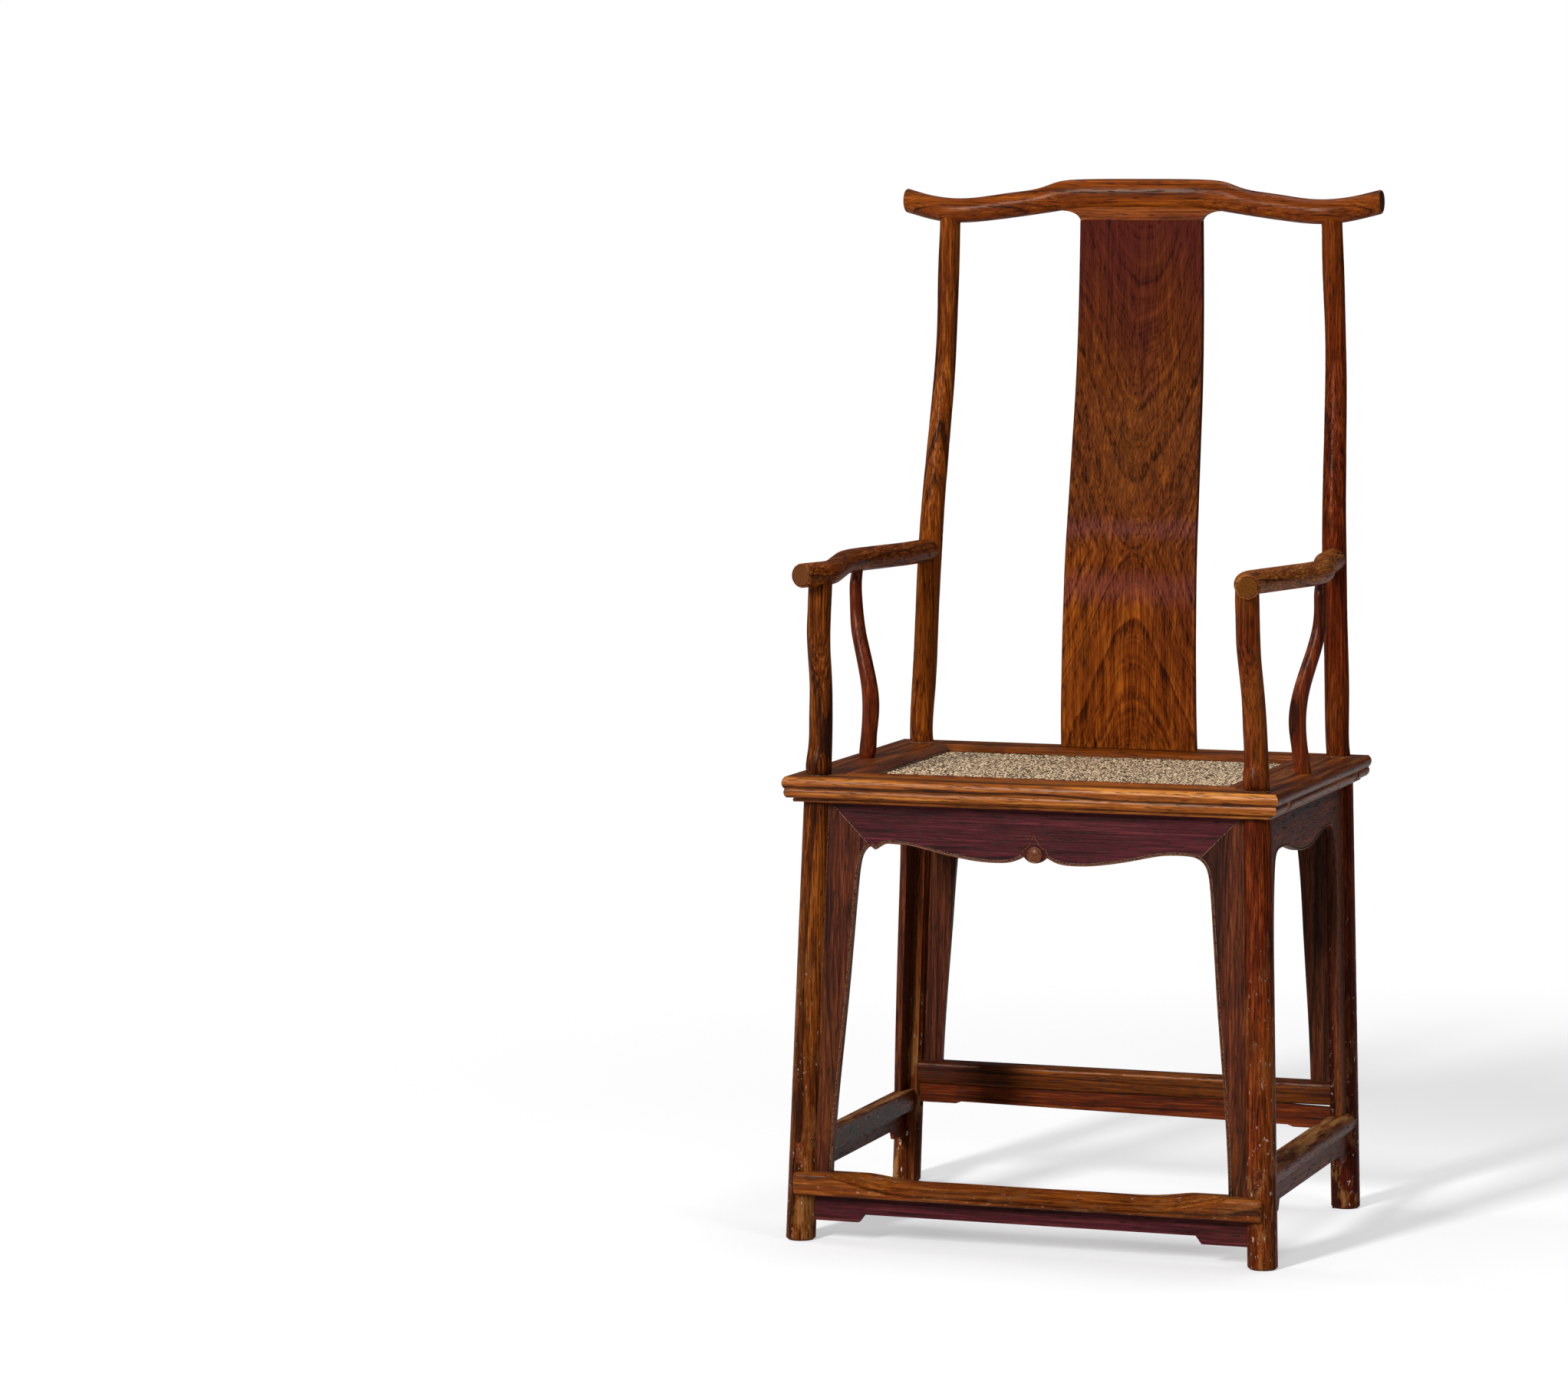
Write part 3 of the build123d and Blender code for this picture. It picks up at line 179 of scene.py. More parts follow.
# Each tone is (dark, mid, light).
ORANGE = ((0.026, 0.006, 0.001), (0.145, 0.030, 0.003), (0.320, 0.088, 0.010))
BROWN = ((0.014, 0.004, 0.001), (0.095, 0.020, 0.002), (0.230, 0.060, 0.008))
RED = ((0.014, 0.003, 0.001), (0.085, 0.011, 0.002), (0.200, 0.038, 0.006))
BRIGHT = ((0.045, 0.011, 0.003), (0.240, 0.062, 0.008), (0.480, 0.180, 0.035))
DEEP = ((0.010, 0.003, 0.001), (0.058, 0.011, 0.004), (0.130, 0.030, 0.008))
SPLAT = ((0.026, 0.006, 0.001), (0.150, 0.029, 0.003), (0.300, 0.076, 0.007))
# Plum tone of the front aprons: their own colour with a painted violet sheen in it.
PURPLE = ((0.010, 0.002, 0.003), (0.052, 0.006, 0.011), (0.120, 0.020, 0.024))
GLOW = (0.340, 0.105, 0.013)
MAROON = (0.042, 0.005, 0.007)
INK = (0.008, 0.003, 0.002)
CREAM = (0.22, 0.145, 0.085)
# Colours of the painted shade under the seat.
SHADE_UNDER_SEAT = ((0.008, 0.003, 0.002), (0.060, 0.010, 0.008))
RUBBED = ((0.140, 0.050, 0.012), (0.480, 0.230, 0.070))
SCUFFED = ((0.120, 0.040, 0.011), (0.420, 0.190, 0.055))
CHIPPED = (0.66, 0.56, 0.46)
# Colour of the painted shade on the upper splat.
SHADED = (0.022, 0.006, 0.000)
SMOKED = ((0.024, 0.004, 0.004), (0.095, 0.014, 0.012))
# Colour of the painted violet sheen on the splat.
VIOLET_SHEEN = (0.150, 0.040, 0.044)

# Noise in the wood: cycles per metre across and along the fibres, then detail and roughness.
SLOW_BEND = (14.0, 2.6, 2.0)
WAVY_BEND = (70.0, 7.0, 3.0)
FIBRES = (480.0, 13.0, 4.0, 0.62)
STREAKS = (130.0, 3.4, 3.0, 0.6)
PORES = (760.0, 60.0, 1.0)
DASHES = (520.0, 70.0, 2.0)
DRIFTS = (16.0, 4.0, 3.0)
MOTTLES = (60.0, 22.0, 3.0)
RUBS = (120.0, 14.0, 4.0, 0.66)
SCUFFS = (46.0, 15.0, 5.0, 0.68)
CHIPS = (300.0, 130.0, 3.0)

FIGURE_SLOPE = 0.36             # how fast a sawn board's arches close with height
FLOOR_WEAR = 0.04               # wear is full below this height, in metres
# Painted shade: the splat darkens between these heights and stays darker above them.
SHADED_FROM = (0.68, 0.84)      # heights over which the splat grows darker
# Painted sheen: height and reach of two violet bands on the splat.
VIOLET_SHEEN_BANDS = ((0.722, 0.030), (0.792, 0.018))     # height and reach


def finish_wood(net, body, relief, gloss, shine=0.15):
    bump = net.new("ShaderNodeBump")
    bump.inputs["Strength"].default_value = 0.35
    bump.inputs["Distance"].default_value = 0.00035
    net.put(bump.inputs["Height"], relief)
    shader = net.new("ShaderNodeBsdfPrincipled")
    net.put(shader.inputs["Base Color"], body)
    net.put(shader.inputs["Roughness"], gloss)
    net.put(shader.inputs["Normal"], bump.outputs[0])
    shader.inputs["Specular IOR Level"].default_value = shine
    shader.inputs["Specular Tint"].default_value = (1.0, 0.80, 0.66, 1.0)
    out = net.new("ShaderNodeOutputMaterial")
    net.put(out.inputs["Surface"], shader.outputs[0])


def round_rings(net, u, v, slow, wave, pith):
    """Distance from the pith line, a little bent."""
    across = net.sub(net.add(u, net.times(slow, 0.034)), pith[0])
    through = net.sub(net.add(v, net.times(wave, 0.007)), pith[1])
    return net.vector("LENGTH", net.combine(across, through, 0.0))


def board_figure(net, u, w, slow, wave, pith, flame):
    """Arches below the height of flame and arches upside down above it, as on a sawn board."""
    side = net.add(net.sub(u, pith[0]), net.times(slow, 0.050))
    side = net.math("SQRT", net.add(net.times(side, side), 0.0008))
    rise = net.add(net.math("ABSOLUTE", net.sub(w, flame)), net.times(wave, 0.012))
    return net.sub(side, net.times(rise, FIGURE_SLOPE))


def splat_shade_and_sheen(net, body, shade, slow, w, maroon_above):
    """Painted shade darker upwards, maroon at the top and two faint violet bands of painted sheen."""
    # Painted shade: darker upwards over the splat.
    body = net.mix(net.span(w, *SHADED_FROM, 0.0, 0.42), body, SHADED)
    high = net.span(net.add(w, net.times(slow, 0.30)), *maroon_above, 0.0, 0.80)
    body = net.mix(high, body, net.mix(shade, *SMOKED))
    # Painted sheen: faint violet bands at the given heights.
    for band, reach in VIOLET_SHEEN_BANDS:
        away = net.math("ABSOLUTE", net.sub(net.add(w, net.times(slow, 0.03)), band))
        body = net.mix(net.span(away, reach, 0.0, 0.0, 0.30, smooth=True), body, VIOLET_SHEEN)
    return body


def end_grain(net, body, here, end):
    """A speckled disc on the sawn end, with a dark rim painted as the shade on its rounded edge."""
    way, dark, light = end
    facing = net.vector("DOT_PRODUCT", net.new("ShaderNodeNewGeometry").outputs["Normal"], way)
    speckle = net.ramp(net.noise(here, 900.0, 4.0, 0.7), [(0.38, dark), (0.60, light)])
    body = net.mix(net.span(facing, 0.955, 0.975), body, speckle)
    # Painted shade: a dark ring on the rounded edge round the end.
    rim = net.times(net.span(facing, 0.86, 0.92), net.span(facing, 0.965, 0.95))
    return net.mix(rim, body, INK)


def rubbed_upwards(net, body, here, fibre, share):
    """Golden wear on the faces that look up."""
    up = net.split(net.new("ShaderNodeNewGeometry").outputs["Normal"])[2]
    high = net.times(net.span(up, 0.25, 0.80), net.span(net.grain(here, *RUBS), 0.44, 0.60))
    return net.mix(net.times(high, share), body, net.mix(fibre, *RUBBED))


def foot_wear(net, body, here, fibre, height, worn, worn_to):
    """Scuffed and chipped towards the floor, as the colour and the scuffed share."""
    low = net.span(height, worn_to, FLOOR_WEAR)
    scuffed = net.times(net.span(net.grain(here, *SCUFFS), 0.52, 0.64), low)
    body = net.mix(net.times(scuffed, worn), body, net.mix(fibre, *SCUFFED))
    chips = net.times(net.span(net.grain(here, *CHIPS), 0.655, 0.70), net.times(low, 0.75 * worn))
    return net.mix(chips, body, CHIPPED), scuffed


def wood(name, grain="z", seed=0.0, tone=BROWN, pith=(0.03, 0.05), ring=0.010, rough=0.30,
         purple=0.2, orange=0.3, worn=0.0, worn_to=0.42, flame=None, maroon_above=None,
         shine=0.12, end=None, figure=0.40, plain_below=None, rubbed_top=None):
    """Rosewood: rings round a pith line, fibres, short dark pores, drifts of colour and wear.

    figure is the rings' share in the tone. flame is the height where a sawn board's arches meet,
    and maroon_above its change of colour. plain_below are the heights between which the wood turns
    darker downwards, painted shade under the seat; worn_to is how high the wear of the foot reaches,
    rubbed_top is the wear on top faces, and end gives the way that the end grain faces with its two
    colours.
    """
    made, net = material(name)
    place = net.new("ShaderNodeTexCoord").outputs["Object"]
    xyz = net.split(place)
    u, v, w = (xyz[i] for i in AXES[grain])
    here = net.vector("ADD", net.combine(u, v, w), (seed * 1.37, seed * 2.11, seed * 0.73))

    slow = net.sub(net.grain(here, *SLOW_BEND), 0.5)
    wave = net.sub(net.grain(here, *WAVY_BEND), 0.5)
    if flame is None:
        radius = round_rings(net, u, v, slow, wave, pith)
    else:
        radius = board_figure(net, u, w, slow, wave, pith, flame)
    rings = net.noise(None, scale=1.0 / ring, detail=4.0, rough=0.66, dims="1D", w=radius)
    fibre = net.grain(here, *FIBRES)
    streaks = net.grain(here, *STREAKS)
    pores = net.span(net.grain(here, *PORES), 0.575, 0.67)
    if flame is not None:
        band = net.span(rings, 0.54, 0.44, 0.15, 1.0)
        dashes = net.span(net.grain(here, *DASHES), 0.52, 0.60)
        pores = net.math("MAXIMUM", net.times(dashes, band), net.times(pores, 0.6))
    drift = net.grain(here, *DRIFTS)
    mottle = net.grain(here, *MOTTLES)

    shares = (figure, 0.78 - figure, 0.22) if flame is None else (0.26, 0.44, 0.30)
    shade = net.add(net.times(rings, shares[0]), net.times(fibre, shares[1]))
    shade = net.add(shade, net.times(streaks, shares[2]))
    dark, mid, light = tone
    body = net.ramp(shade, [(0.39, dark), (0.50, mid), (0.61, light)], "EASE")
    glow = net.span(drift, 0.50, 0.72, 0.0, orange)
    # Painted shade under the seat: darker and without the orange drifts below these heights.
    if plain_below:
        glow = net.times(glow, net.span(xyz[2], *plain_below))
        body = net.mix(net.span(xyz[2], *plain_below, 0.55, 0.0), body, net.mix(shade, *SHADE_UNDER_SEAT))
    body = net.mix(glow, body, net.mix(fibre, ORANGE[1], GLOW))
    body = net.mix(net.span(drift, 0.48, 0.30, 0.0, purple), body, net.mix(fibre, INK, MAROON))
    body = net.mix(net.span(mottle, 0.56, 0.74, 0.0, 0.45), body, dark)
    if maroon_above:
        body = splat_shade_and_sheen(net, body, shade, slow, w, maroon_above)
    lines = net.span(rings, 0.42, 0.32, 0.0, 0.70 if flame is None else 0.30, smooth=True)
    body = net.mix(lines, body, INK)
    body = net.mix(net.times(pores, 0.72), body, INK)
    if end:
        body = end_grain(net, body, here, end)
    gloss = net.add(net.times(fibre, 0.14), rough - 0.07)
    if rubbed_top:
        body = rubbed_upwards(net, body, here, fibre, rubbed_top)
    if worn:
        body, scuffed = foot_wear(net, body, here, fibre, xyz[2], worn, worn_to)
        gloss = net.add(gloss, net.times(scuffed, 0.18))
    gloss = net.add(gloss, net.times(pores, 0.25))
    relief = net.sub(net.times(fibre, 0.6), net.times(pores, 0.8))
    finish_wood(net, body, relief, gloss, shine)
    return made


def dress(names, made):
    for name in names:
        mesh = NODES[name].data
        mesh.materials.clear()
        mesh.materials.append(made)


def timber(name, grain, slot="hardwood", **look):
    dress([name], wood("timber_" + name, grain, **look))


# Heights of the painted shade under the seat on the rear legs.
UNDER_SEAT = (0.40, 0.56)
timber("rear_leg_left", "z", seed=3.1, tone=ORANGE, pith=(-0.30, 0.34), ring=0.009, purple=0.6,
       worn=1.3, worn_to=0.26, rough=0.24, shine=0.035, figure=0.24, plain_below=UNDER_SEAT)
timber("rear_leg_right", "z", seed=4.3, tone=RED, pith=(0.33, 0.30), ring=0.012, purple=0.5,
       orange=0.3, worn=0.8, rough=0.24, shine=0.035, figure=0.24, plain_below=UNDER_SEAT)
timber("front_leg_left", "z", seed=5.2, tone=BROWN, pith=(-0.35, -0.10), orange=0.2, purple=0.4, worn=0.6,
       shine=0.05, figure=0.12)
timber("front_leg_right", "z", seed=6.4, tone=RED, pith=(0.18, -0.28), orange=0.5, purple=0.4, worn=0.7,
       shine=0.06, figure=0.14)
timber("side_post_left", "z", seed=7.5, tone=RED, pith=(-0.22, 0.10), orange=0.5)
timber("side_post_right", "z", seed=8.6, tone=RED, pith=(0.30, 0.05), orange=0.7)
timber("back_splat", "z", seed=11.0, tone=SPLAT, pith=(0.004, 0.10), ring=0.0075, rough=0.34,
       purple=0.35, orange=0.3, flame=0.765, maroon_above=(0.95, 1.13), shine=0.012)
# The crest's right end is near-black: its end grain darkened with painted shade.
timber("crest_rail", "x", seed=21.0, tone=SPLAT, pith=(0.20, 1.14), orange=0.6, purple=0.5,
       rough=0.27, shine=0.07,
       end=((0.97, 0.17, 0.15), (0.010, 0.004, 0.003), (0.022, 0.009, 0.006)))
timber("armrest_left", "y", seed=31.0, tone=ORANGE, pith=(0.71, -0.24), orange=0.3, shine=0.10, figure=0.2,
       end=((-0.15, -0.98, 0.0), (0.050, 0.014, 0.004), (0.130, 0.042, 0.012)))
timber("armrest_right", "y", seed=32.0, tone=BRIGHT, pith=(0.71, 0.24), orange=0.6, shine=0.10, figure=0.2,
       end=((0.15, -0.98, 0.0), (0.050, 0.014, 0.002), (0.150, 0.048, 0.006)))
SIDE_TIMBERS = ["seat_rail_left", "seat_rail_right", "mat_strip_left", "mat_strip_right"]
LONG_TIMBERS = ["seat_rail_front", "seat_rail_rear", "mat_strip_front", "mat_strip_rear"]
LOW_TIMBERS = ["stretcher_left", "stretcher_right", "seat_brace_left", "seat_brace_right"]
for i, name in enumerate(SIDE_TIMBERS):
    timber(name, "y", seed=41.0 + i, tone=ORANGE, pith=(0.47, 0.22), orange=0.3, purple=0.4,
           shine=0.5)
for i, name in enumerate(LOW_TIMBERS):
    trodden = "stretcher" in name
    timber(name, "y", seed=46.0 + i, tone=RED if trodden else BROWN, pith=(0.17, 0.22), purple=0.5,
           figure=0.25, worn=0.6 if trodden else 0.0, rubbed_top=0.9 if trodden else None, shine=0.15)
for i, name in enumerate(LONG_TIMBERS):
    tone = BRIGHT if name == "seat_rail_front" else ORANGE
    timber(name, "x", seed=51.0 + i, tone=tone, pith=(-0.15, 0.42), orange=0.5)
timber("stretcher_rear", "x", seed=56.0, tone=BROWN, pith=(0.12, 0.20), purple=0.7)
timber("foot_rail", "x", "worn_wood", seed=61.0, tone=ORANGE, pith=(-0.14, 0.10), ring=0.012,
       orange=0.5, worn=0.3)
SPANDRELS = sorted(n for n in NODES if "spandrel" in n)
for i, name in enumerate(sorted(n for n in NODES if "apron" in n)):
    side = "left" in name or "right" in name
    # The plum front aprons carry their own colour and a painted violet sheen in their tone.
    plum = name in ("apron_front", "foot_rail_apron")
    timber(name, "y" if side else "x", "apron_wood", seed=71.0 + i,
           tone=PURPLE if plum else RED, pith=(0.30, 0.38), purple=0.4, orange=0.12,
           rough=0.36, figure=0.28)
for i, name in enumerate(SPANDRELS):
    timber(name, "z", seed=81.0 + i, tone=DEEP, pith=(0.12, 0.12), purple=0.5, orange=0.25,
           rough=0.36, figure=0.18)
dress(["strip_pegs"], wood("peg_bamboo", "z", seed=91.0, tone=BROWN))
dress(["webbing_plugs"], wood("plug_bamboo", "z", seed=92.0, tone=BROWN))


# ---------------------------------------------------------------- carved beads and joint lines


def plain(name, colour, rough, speck=None):
    made, net = material(name)
    place = net.new("ShaderNodeTexCoord").outputs["Object"]
    tone = net.noise(place, 420.0, 3.0)
    body = net.mix(net.span(tone, 0.44, 0.62), colour, speck or [c * 0.35 for c in colour])
    finish_wood(net, body, tone, rough)
    return made


def add_piece(name, shape, mats):
    """An object of the chair from a bmesh."""
    bmesh.ops.recalc_face_normals(shape, faces=shape.faces)
    mesh = bpy.data.meshes.new(name)
    shape.to_mesh(mesh)
    shape.free()
    for made in mats:
        mesh.materials.append(made)
    piece = bpy.data.objects.new(name, mesh)
    bpy.context.scene.collection.objects.link(piece)
    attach(piece, "root")


BEAD_WOOD = plain("bead_wood", (0.130, 0.038, 0.013), 0.30, (0.045, 0.011, 0.007))
# Near-black quirk beside the beads: painted shade of a groove that is not modelled, and dirt.
QUIRK_SHADE_AND_DIRT = plain("bead_quirk_shade_and_dirt", (0.006, 0.003, 0.002), 0.60)
# Cream of old wax in the joints, also used as a painted highlight along the beads.
WAX_AND_HIGHLIGHT = plain("wax_and_painted_highlight", CREAM, 0.55, (0.03, 0.014, 0.008))
# Each profile is in mm (inwards, outwards), with the material of the face after each point.
# Half-round along the carved edge, a dark quirk that is painted shade and dirt, and a thin cream line that
# is a painted highlight of the worn edge.
BEAD = [(0.0, -0.3), (0.0, 0.25), (0.35, 0.72), (1.1, 0.92), (1.85, 0.72), (2.2, 0.12),
        (2.85, 0.12), (2.85, 0.2), (3.3, 0.2), (3.3, -0.3)]
BEAD_FACES = [0, 0, 0, 0, 0, 1, 1, 2, 2, 0]
THIN_BEAD = [(-0.8, -0.3), (-0.75, 0.35), (-0.4, 0.75), (0.2, 0.75), (0.55, 0.35), (0.6, 0.12),
             (1.25, 0.12), (1.25, -0.3)]
THIN_FACES = [0, 0, 0, 0, 0, 1, 1, 0]
CRACK = [(-0.3, -0.3), (-0.3, 0.12), (0.3, 0.12), (0.3, -0.3)]
CRACK_FACES = [0, 0, 0, 0]
CARVED = [BEAD_WOOD, QUIRK_SHADE_AND_DIRT, WAX_AND_HIGHLIGHT]


def sweep(piece_name, runs, profile, kinds, mats):
    """One object from runs of (points, outward normals, inward directions)."""
    shape = bmesh.new()
    for points, outs, ins in runs:
        rings = []
        for point, out, inward in zip(points, outs, ins):
            corners = [point + inward * (a / 1000) + out * (b / 1000) for a, b in profile]
            rings.append([shape.verts.new(corner) for corner in corners])
        count = len(profile)
        for one, two in zip(rings, rings[1:]):
            for i in range(count):
                j = (i + 1) % count
                face = shape.faces.new((one[i], one[j], two[j], two[i]))
                face.material_index = kinds[i]
                face.smooth = kinds[i] == 0
        shape.faces.new(rings[0])
        shape.faces.new(list(reversed(rings[-1])))
    add_piece(piece_name, shape, mats)


def run_of(points, out, hint):
    """Points with the outward normal and the direction inwards from the edge, across the run."""
    points = [Vector(p) for p in points]
    ways = []
    for i in range(len(points)):
        along = (points[min(i + 1, len(points) - 1)] - points[max(i - 1, 0)]).normalized()
        way = along.cross(out).normalized()
        ways.append(way)
    middle = len(points) // 2
    if ways[middle].dot(hint(points[middle])) < 0:
        ways = [-way for way in ways]
    return points, [out] * len(points), ways


def face_loop(name, outward):
    """Outline of the board's outer face, as points in order, with the face's normal."""
    mesh = NODES[name].data
    flats = {}
    for face in mesh.polygons:
        if face.normal.dot(outward) > 0.97:
            at = round(mesh.vertices[face.vertices[0]].co.dot(face.normal), 4)
            flats.setdefault(at, []).append(face)
    faces = max(flats.values(), key=lambda group: sum(face.area for face in group))
    edges = set()
    for face in faces:
        ring = [tuple(round(c, 5) for c in mesh.vertices[i].co) for i in face.vertices]
        for a, b in zip(ring, ring[1:] + ring[:1]):
            if (b, a) in edges:
                edges.remove((b, a))
            else:
                edges.add((a, b))
    follow = dict(edges)
    loop = [max(follow, key=lambda p: (round(p[2], 4), p[0] + p[1]))]
    while follow.get(loop[-1], loop[0]) != loop[0]:
        loop.append(follow[loop[-1]])
    return [Vector(p) for p in loop], faces[0].normal.copy()


def turned(loop, keep):
    """The run of kept points in order, wherever the loop starts."""
    flags = [keep(p) for p in loop]
    start = next(i for i in range(len(loop)) if flags[i] and not flags[i - 1])
    ordered = loop[start:] + loop[:start]
    run = []
    for point in ordered:
        if not keep(point):
            break
        run.append(point)
    return run


FRAME_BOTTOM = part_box("seat_rail_front")[0].z
UNDER_FRAME = FRAME_BOTTOM - 0.001
HOUSED = 0.005          # how far a spandrel's edge lies inside its leg
CARVED_FROM = 0.012     # a spandrel's edge further in than this is carved
BUD_REACH = 0.03        # the bud's notches lie this near the middle of the front apron
FOOT_REACH = 0.04       # a spandrel's foot corner lies this near its lowest point
TOP_REACH = 0.01        # and its top corner this near its highest point
SIDE_MIDDLE = 0.02      # y that parts the side spandrels into front and rear ones
UP = Vector((0, 0, 1))
SIDES = {
    "front": Vector((0, -1, 0)),
    "rear": Vector((0, 1, 0)),
    "left": Vector((-1, 0, 0)),
    "right": Vector((1, 0, 0)),
}
cracks = []
for where, outward in SIDES.items():
    loop, out = face_loop("apron_" + where, outward)
    edge = turned(loop, lambda p: p.z < UNDER_FRAME)
    if where != "rear":
        runs = [edge]
        if where == "front":
            low = [i for i in range(1, len(edge) - 1)
                   if abs(edge[i].x) < BUD_REACH
                   and edge[i].z > edge[i - 1].z and edge[i].z > edge[i + 1].z]
            runs = [edge[: low[0] + 1], edge[low[-1]:]]
        sweep("bead_apron_" + where, [run_of(r, out, lambda p: UP) for r in runs],
              BEAD, BEAD_FACES, CARVED)
    tops = [p for p in loop if p.z >= UNDER_FRAME]
    for corner in (edge[0], edge[-1]):
        top = min(tops, key=lambda p: (p - corner).length)
        cracks.append(run_of([top, corner], out, lambda p: UP))
for name in SPANDRELS:
    where = name.split("_")[1].replace("patch", "front")
    outward = SIDES[where]
    loop, out = face_loop(name, outward)
    axis = 0 if where in ("front", "rear") else 1
    middle = sum(p[axis] for p in loop) / len(loop)
    sign = 1.0 if middle > (0.0 if axis == 0 else SIDE_MIDDLE) else -1.0
    low = min(p.z for p in loop)
    foot = max((p for p in loop if p.z < low + FOOT_REACH), key=lambda p: sign * p[axis])
    high = max(p.z for p in loop)
    top = max((p for p in loop if p.z > high - TOP_REACH), key=lambda p: sign * p[axis])

    def inset(p):
        share = (p.z - foot.z) / max(top.z - foot.z, 0.001)
        return sign * (foot[axis] + (top[axis] - foot[axis]) * share - p[axis])

    edge = turned(loop, lambda p: inset(p) > CARVED_FROM and p.z < UNDER_FRAME)
    if len(edge) > 1 and where != "rear":
        toward = Vector((sign, 0, 0)) if axis == 0 else Vector((0, sign, 0))
        sweep("bead_" + name, [run_of(edge, out, lambda p: toward)],
              BEAD, BEAD_FACES, CARVED)
    shift = Vector((-sign * HOUSED, 0, 0)) if axis == 0 else Vector((0, -sign * HOUSED, 0))
    cracks.append(run_of([foot + shift, top + shift], out, lambda p: UP))
sweep("joint_lines", cracks, CRACK, CRACK_FACES, [WAX_AND_HIGHLIGHT])

# Lotus bud in the middle of the front apron: an onion arch round a domed disc.
loop, front_out = face_loop("apron_front", SIDES["front"])


def on_apron(x, depth):
    """Point of the front apron's outer face, x and depth under the frame in mm."""
    z = FRAME_BOTTOM - depth / 1000
    y = loop[0].y - (front_out.z * (z - loop[0].z) + front_out.x * (x / 1000 - loop[0].x)) / front_out.y
    return Vector((x / 1000, y, z))


ARCHES = [
    [(-15.0, 56.5), (-12.6, 52.0), (-11.6, 48.0), (-9.6, 45.6), (-7.4, 44.6), (-5.6, 43.0), (-4.2, 40.6),
     (-2.6, 37.2), (-0.8, 32.4), (0.9, 28.6)],
    [(0.9, 28.6), (2.4, 31.4), (4.2, 34.6), (6.0, 37.6), (7.8, 40.2), (9.6, 42.6), (11.8, 44.2),
     (14.2, 44.8), (15.8, 46.4), (16.6, 49.4), (18.6, 53.0), (22.0, 56.6)],
]
ARCH_MIDDLE = on_apron(2.1, 48.0)
arch_runs = [run_of([on_apron(*p) for p in arch], front_out, lambda p: p - ARCH_MIDDLE)
             for arch in ARCHES]
sweep("bud_arch", arch_runs, THIN_BEAD, THIN_FACES, [BEAD_WOOD, QUIRK_SHADE_AND_DIRT])


def bud_dome():
    """A dome on the carved disc, with a rolled rim."""
    shape = bmesh.new()
    sides = 48
    centre = on_apron(2.1, 51.8)
    right = Vector((1, 0, 0))
    up = front_out.cross(right).normalized()
    # Radius and height above the apron's face, in mm, from the tip to the rim.
    steps = [(0.0, 3.0), (3.0, 2.85), (5.2, 2.4), (6.8, 1.75), (7.4, 1.35), (7.7, 1.35),
             (8.3, 1.85), (8.9, 1.8), (9.4, 1.2)]
    rings = []
    for radius, height in steps[1:]:
        ring = []
        for k in range(sides):
            turn = 2 * math.pi * k / sides
            way = right * math.cos(turn) + up * math.sin(turn)
            point = centre + way * (radius / 1000) + front_out * (height / 1000)
            ring.append(shape.verts.new(point))
        rings.append(ring)
    tip = shape.verts.new(centre + front_out * (steps[0][1] / 1000))
    base = shape.verts.new(centre + front_out * 0.0005)
    for k in range(sides):
        j = (k + 1) % sides
        shape.faces.new((tip, rings[0][k], rings[0][j]))
        shape.faces.new((base, rings[-1][j], rings[-1][k]))
        for one, two in zip(rings, rings[1:]):
            shape.faces.new((one[k], two[k], two[j], one[j]))
    for face in shape.faces:
        face.smooth = True
    add_piece("bud_dome", shape, [BEAD_WOOD])


bud_dome()


SEAT_TOP = 0.5315
POST_X = 0.2555
POST_Y = {"front": -0.19222, "rear": 0.19128}
COLLAR_RADIUS = 0.0142
COLLAR_TUBE = 0.0005


def collar(name, centre):
    """A thin ring of old wax where a round post stands in a seat rail."""
    shape = bmesh.new()
    sides, corners = 40, (0.0, math.pi / 2, math.pi, 1.5 * math.pi)
    rings = []
    for k in range(sides):
        turn = 2 * math.pi * k / sides
        way = Vector((math.cos(turn), math.sin(turn), 0))
        rings.append([])
        for a in corners:
            out = way * (COLLAR_RADIUS + COLLAR_TUBE * math.cos(a))
            rise = Vector((0, 0, COLLAR_TUBE * math.sin(a)))
            rings[-1].append(shape.verts.new(centre + out + rise))
    for k in range(sides):
        one, two = rings[k], rings[(k + 1) % sides]
        for i in range(4):
            j = (i + 1) % 4
            shape.faces.new((one[i], one[j], two[j], two[i]))
    add_piece(name, shape, [WAX_AND_HIGHLIGHT])


for side, sign in (("left", -1), ("right", 1)):
    for row, y in POST_Y.items():
        collar("wax_%s_post_%s" % (row, side), Vector((sign * POST_X, y, SEAT_TOP)))


# ---------------------------------------------------------------- seat mat


def sheet_grid(name, low, high, z, step, height):
    """A grid from low to high at height z, with height(x, y) added to each point."""
    nx, ny = (max(2, round((high[i] - low[i]) / step)) for i in (0, 1))
    x, y = np.meshgrid(np.linspace(low[0], high[0], nx + 1), np.linspace(low[1], high[1], ny + 1))
    points = np.stack([x, y, z + height(x, y)], axis=-1).reshape(-1, 3)
    at = np.arange((nx + 1) * (ny + 1)).reshape(ny + 1, nx + 1)
    quads = np.stack([at[:-1, :-1], at[:-1, 1:], at[1:, 1:], at[1:, :-1]], axis=-1).reshape(-1, 4)
    mesh = bpy.data.meshes.new(name)
    mesh.from_pydata(points.tolist(), [], quads.tolist())
    mesh.polygons.foreach_set("use_smooth", [True] * len(quads))
    piece = bpy.data.objects.new(name, mesh)
    bpy.context.scene.collection.objects.link(piece)
    return piece


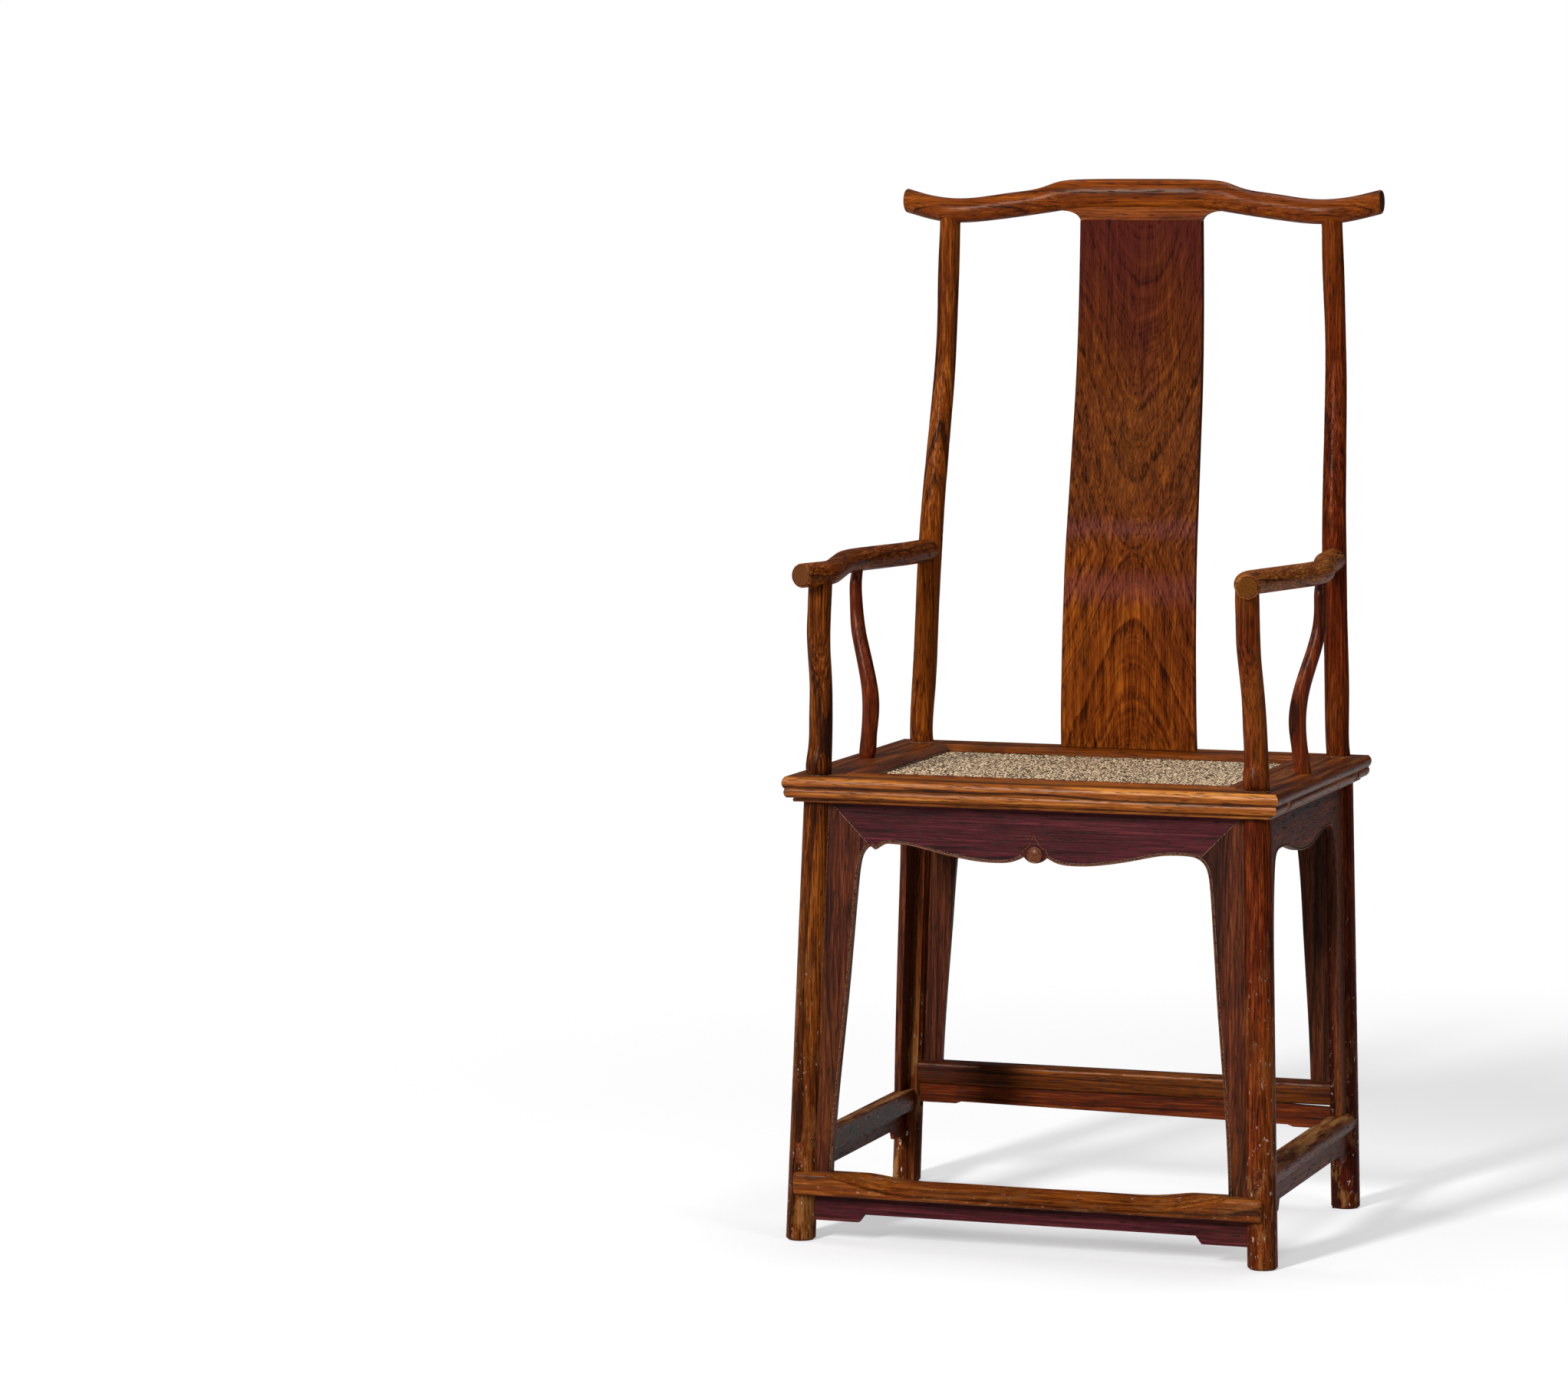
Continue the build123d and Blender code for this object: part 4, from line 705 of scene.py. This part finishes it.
def cane(name, pale, mid, gap):
    made, net = material(name)
    place = net.new("ShaderNodeTexCoord").outputs["Object"]
    straw = net.noise(net.vector("MULTIPLY", place, (520.0, 150.0, 100.0)), detail=4.0, rough=0.7)
    knots = net.cells(net.vector("MULTIPLY", place, (1.60, 0.85, 0.0)), scale=270.0)
    tone = net.add(net.times(straw, 0.55), net.times(knots, 0.62))
    body = net.ramp(tone, [(0.42, pale), (0.53, mid), (0.62, gap)])
    shader = net.new("ShaderNodeBsdfPrincipled")
    net.put(shader.inputs["Base Color"], body)
    shader.inputs["Roughness"].default_value = 0.62
    out = net.new("ShaderNodeOutputMaterial")
    net.put(out.inputs["Surface"], shader.outputs[0])
    return made


def weave(x, y, pitch=0.0034, depth=0.00042):
    """Close-woven strands that pass over and under one another, a little uneven."""
    drift = 0.35 * np.sin(x * 61.0 + 1.3) + 0.35 * np.sin(y * 83.0 + 0.4)
    a = np.cos(2 * math.pi * x / pitch + drift)
    b = np.cos(2 * math.pi * y / (pitch * 0.8) + drift)
    return depth * a * b


# Each is (CAD node, piece, slot, grid step, (pale, mid, gap) colours).
SHEETS = [
    ("cane_mat", "woven_mat", "cane", 0.0011,
     ((1.0, 0.84, 0.56), (0.74, 0.50, 0.27), (0.070, 0.030, 0.012))),
    ("palm_webbing", "cord_bed", "palm_fibre", 0.0030,
     ((0.30, 0.20, 0.11), (0.15, 0.09, 0.045), (0.03, 0.017, 0.01))),
]
SHEET_EDGE = 0.0006     # the sheet ends this far inside the CAD piece
SHEET_SINK = 0.0005     # and its middle lies this far under the piece's top
for node, piece_name, slot, step, colours in SHEETS:
    low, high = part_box(node)
    piece = sheet_grid(piece_name, (low.x + SHEET_EDGE, low.y + SHEET_EDGE),
                       (high.x - SHEET_EDGE, high.y - SHEET_EDGE), high.z - SHEET_SINK, step, weave)
    piece.data.materials.append(cane(piece_name + "_fibre", *colours))
    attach(piece, "root")
    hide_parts(node)


# ---------------------------------------------------------------- floor, world and lamps

FLOOR_REACH = 30.0
SHADOW_MIDDLE = (0.25, 0.35, 0.0)
SHADOW_FADE = (0.60, 1.75)      # distances over which the floor turns plain white
PAPER = (0.62, 0.62, 0.62)
corners = [(-FLOOR_REACH, -FLOOR_REACH, 0), (FLOOR_REACH, -FLOOR_REACH, 0),
           (FLOOR_REACH, FLOOR_REACH, 0), (-FLOOR_REACH, FLOOR_REACH, 0)]
mesh = bpy.data.meshes.new("floor")
mesh.from_pydata(corners, [], [(0, 1, 2, 3)])
floor = bpy.data.objects.new("floor", mesh)
bpy.context.scene.collection.objects.link(floor)
made, net = material("floor_paper")
path = net.new("ShaderNodeLightPath").outputs
seen = net.math("MAXIMUM", path["Is Camera Ray"], path["Is Transmission Ray"])
place = net.new("ShaderNodeTexCoord").outputs["Object"]
away = net.vector("LENGTH", net.vector("SUBTRACT", place, SHADOW_MIDDLE))
far = net.span(away, *SHADOW_FADE, smooth=True)
paper = net.new("ShaderNodeBsdfDiffuse")
net.put(paper.inputs["Color"], net.mix(net.times(far, seen), PAPER, (0.0, 0.0, 0.0)))
glow = net.new("ShaderNodeEmission")
net.put(glow.inputs["Strength"], net.times(seen, net.span(far, 0.0, 1.0, 0.39, 1.0)))
both = net.new("ShaderNodeAddShader")
net.put(both.inputs[0], paper.outputs[0])
net.put(both.inputs[1], glow.outputs[0])
out = net.new("ShaderNodeOutputMaterial")
net.put(out.inputs["Surface"], both.outputs[0])
mesh.materials.append(made)

world = bpy.data.worlds.new("studio")
world.use_nodes = True
bpy.context.scene.world = world
net = Net(world.node_tree)
path = net.new("ShaderNodeLightPath").outputs
room = net.new("ShaderNodeBackground")
room.inputs["Color"].default_value = (0.64, 0.62, 0.66, 1.0)
way = net.split(net.new("ShaderNodeTexCoord").outputs["Generated"])
net.put(room.inputs["Strength"], net.span(way[2], 0.20, 0.75, 0.035, 0.38, smooth=True))
white = net.new("ShaderNodeBackground")
white.inputs["Color"].default_value = (1.0, 1.0, 1.0, 1.0)
seen = net.math("MAXIMUM", path["Is Camera Ray"], path["Is Transmission Ray"])
blend = net.new("ShaderNodeMixShader")
net.put(blend.inputs[0], seen)
net.put(blend.inputs[1], room.outputs[0])
net.put(blend.inputs[2], white.outputs[0])
out = net.new("ShaderNodeOutputWorld")
net.put(out.inputs["Surface"], blend.outputs[0])


def lamp(name, at, aim, size, power):
    data = bpy.data.lights.new(name, "AREA")
    data.shape = "RECTANGLE"
    data.size, data.size_y = size
    data.energy = power
    obj = bpy.data.objects.new(name, data)
    obj.location = at
    obj.rotation_euler = (Vector(aim) - Vector(at)).to_track_quat("-Z", "Y").to_euler()
    bpy.context.scene.collection.objects.link(obj)


lamp("key", (-1.35, -4.9, 2.9), (0.0, 0.0, 0.6), (0.55, 1.7), 330.0)
lamp("fill", (3.6, -2.2, 2.6), (0.0, 0.0, 0.6), (1.0, 1.8), 32.0)
lamp("left", (-4.2, 0.4, 2.4), (0.0, 0.0, 0.7), (1.0, 2.0), 45.0)
lamp("top", (0.3, 1.0, 4.2), (0.0, 0.0, 0.5), (1.8, 1.8), 50.0)
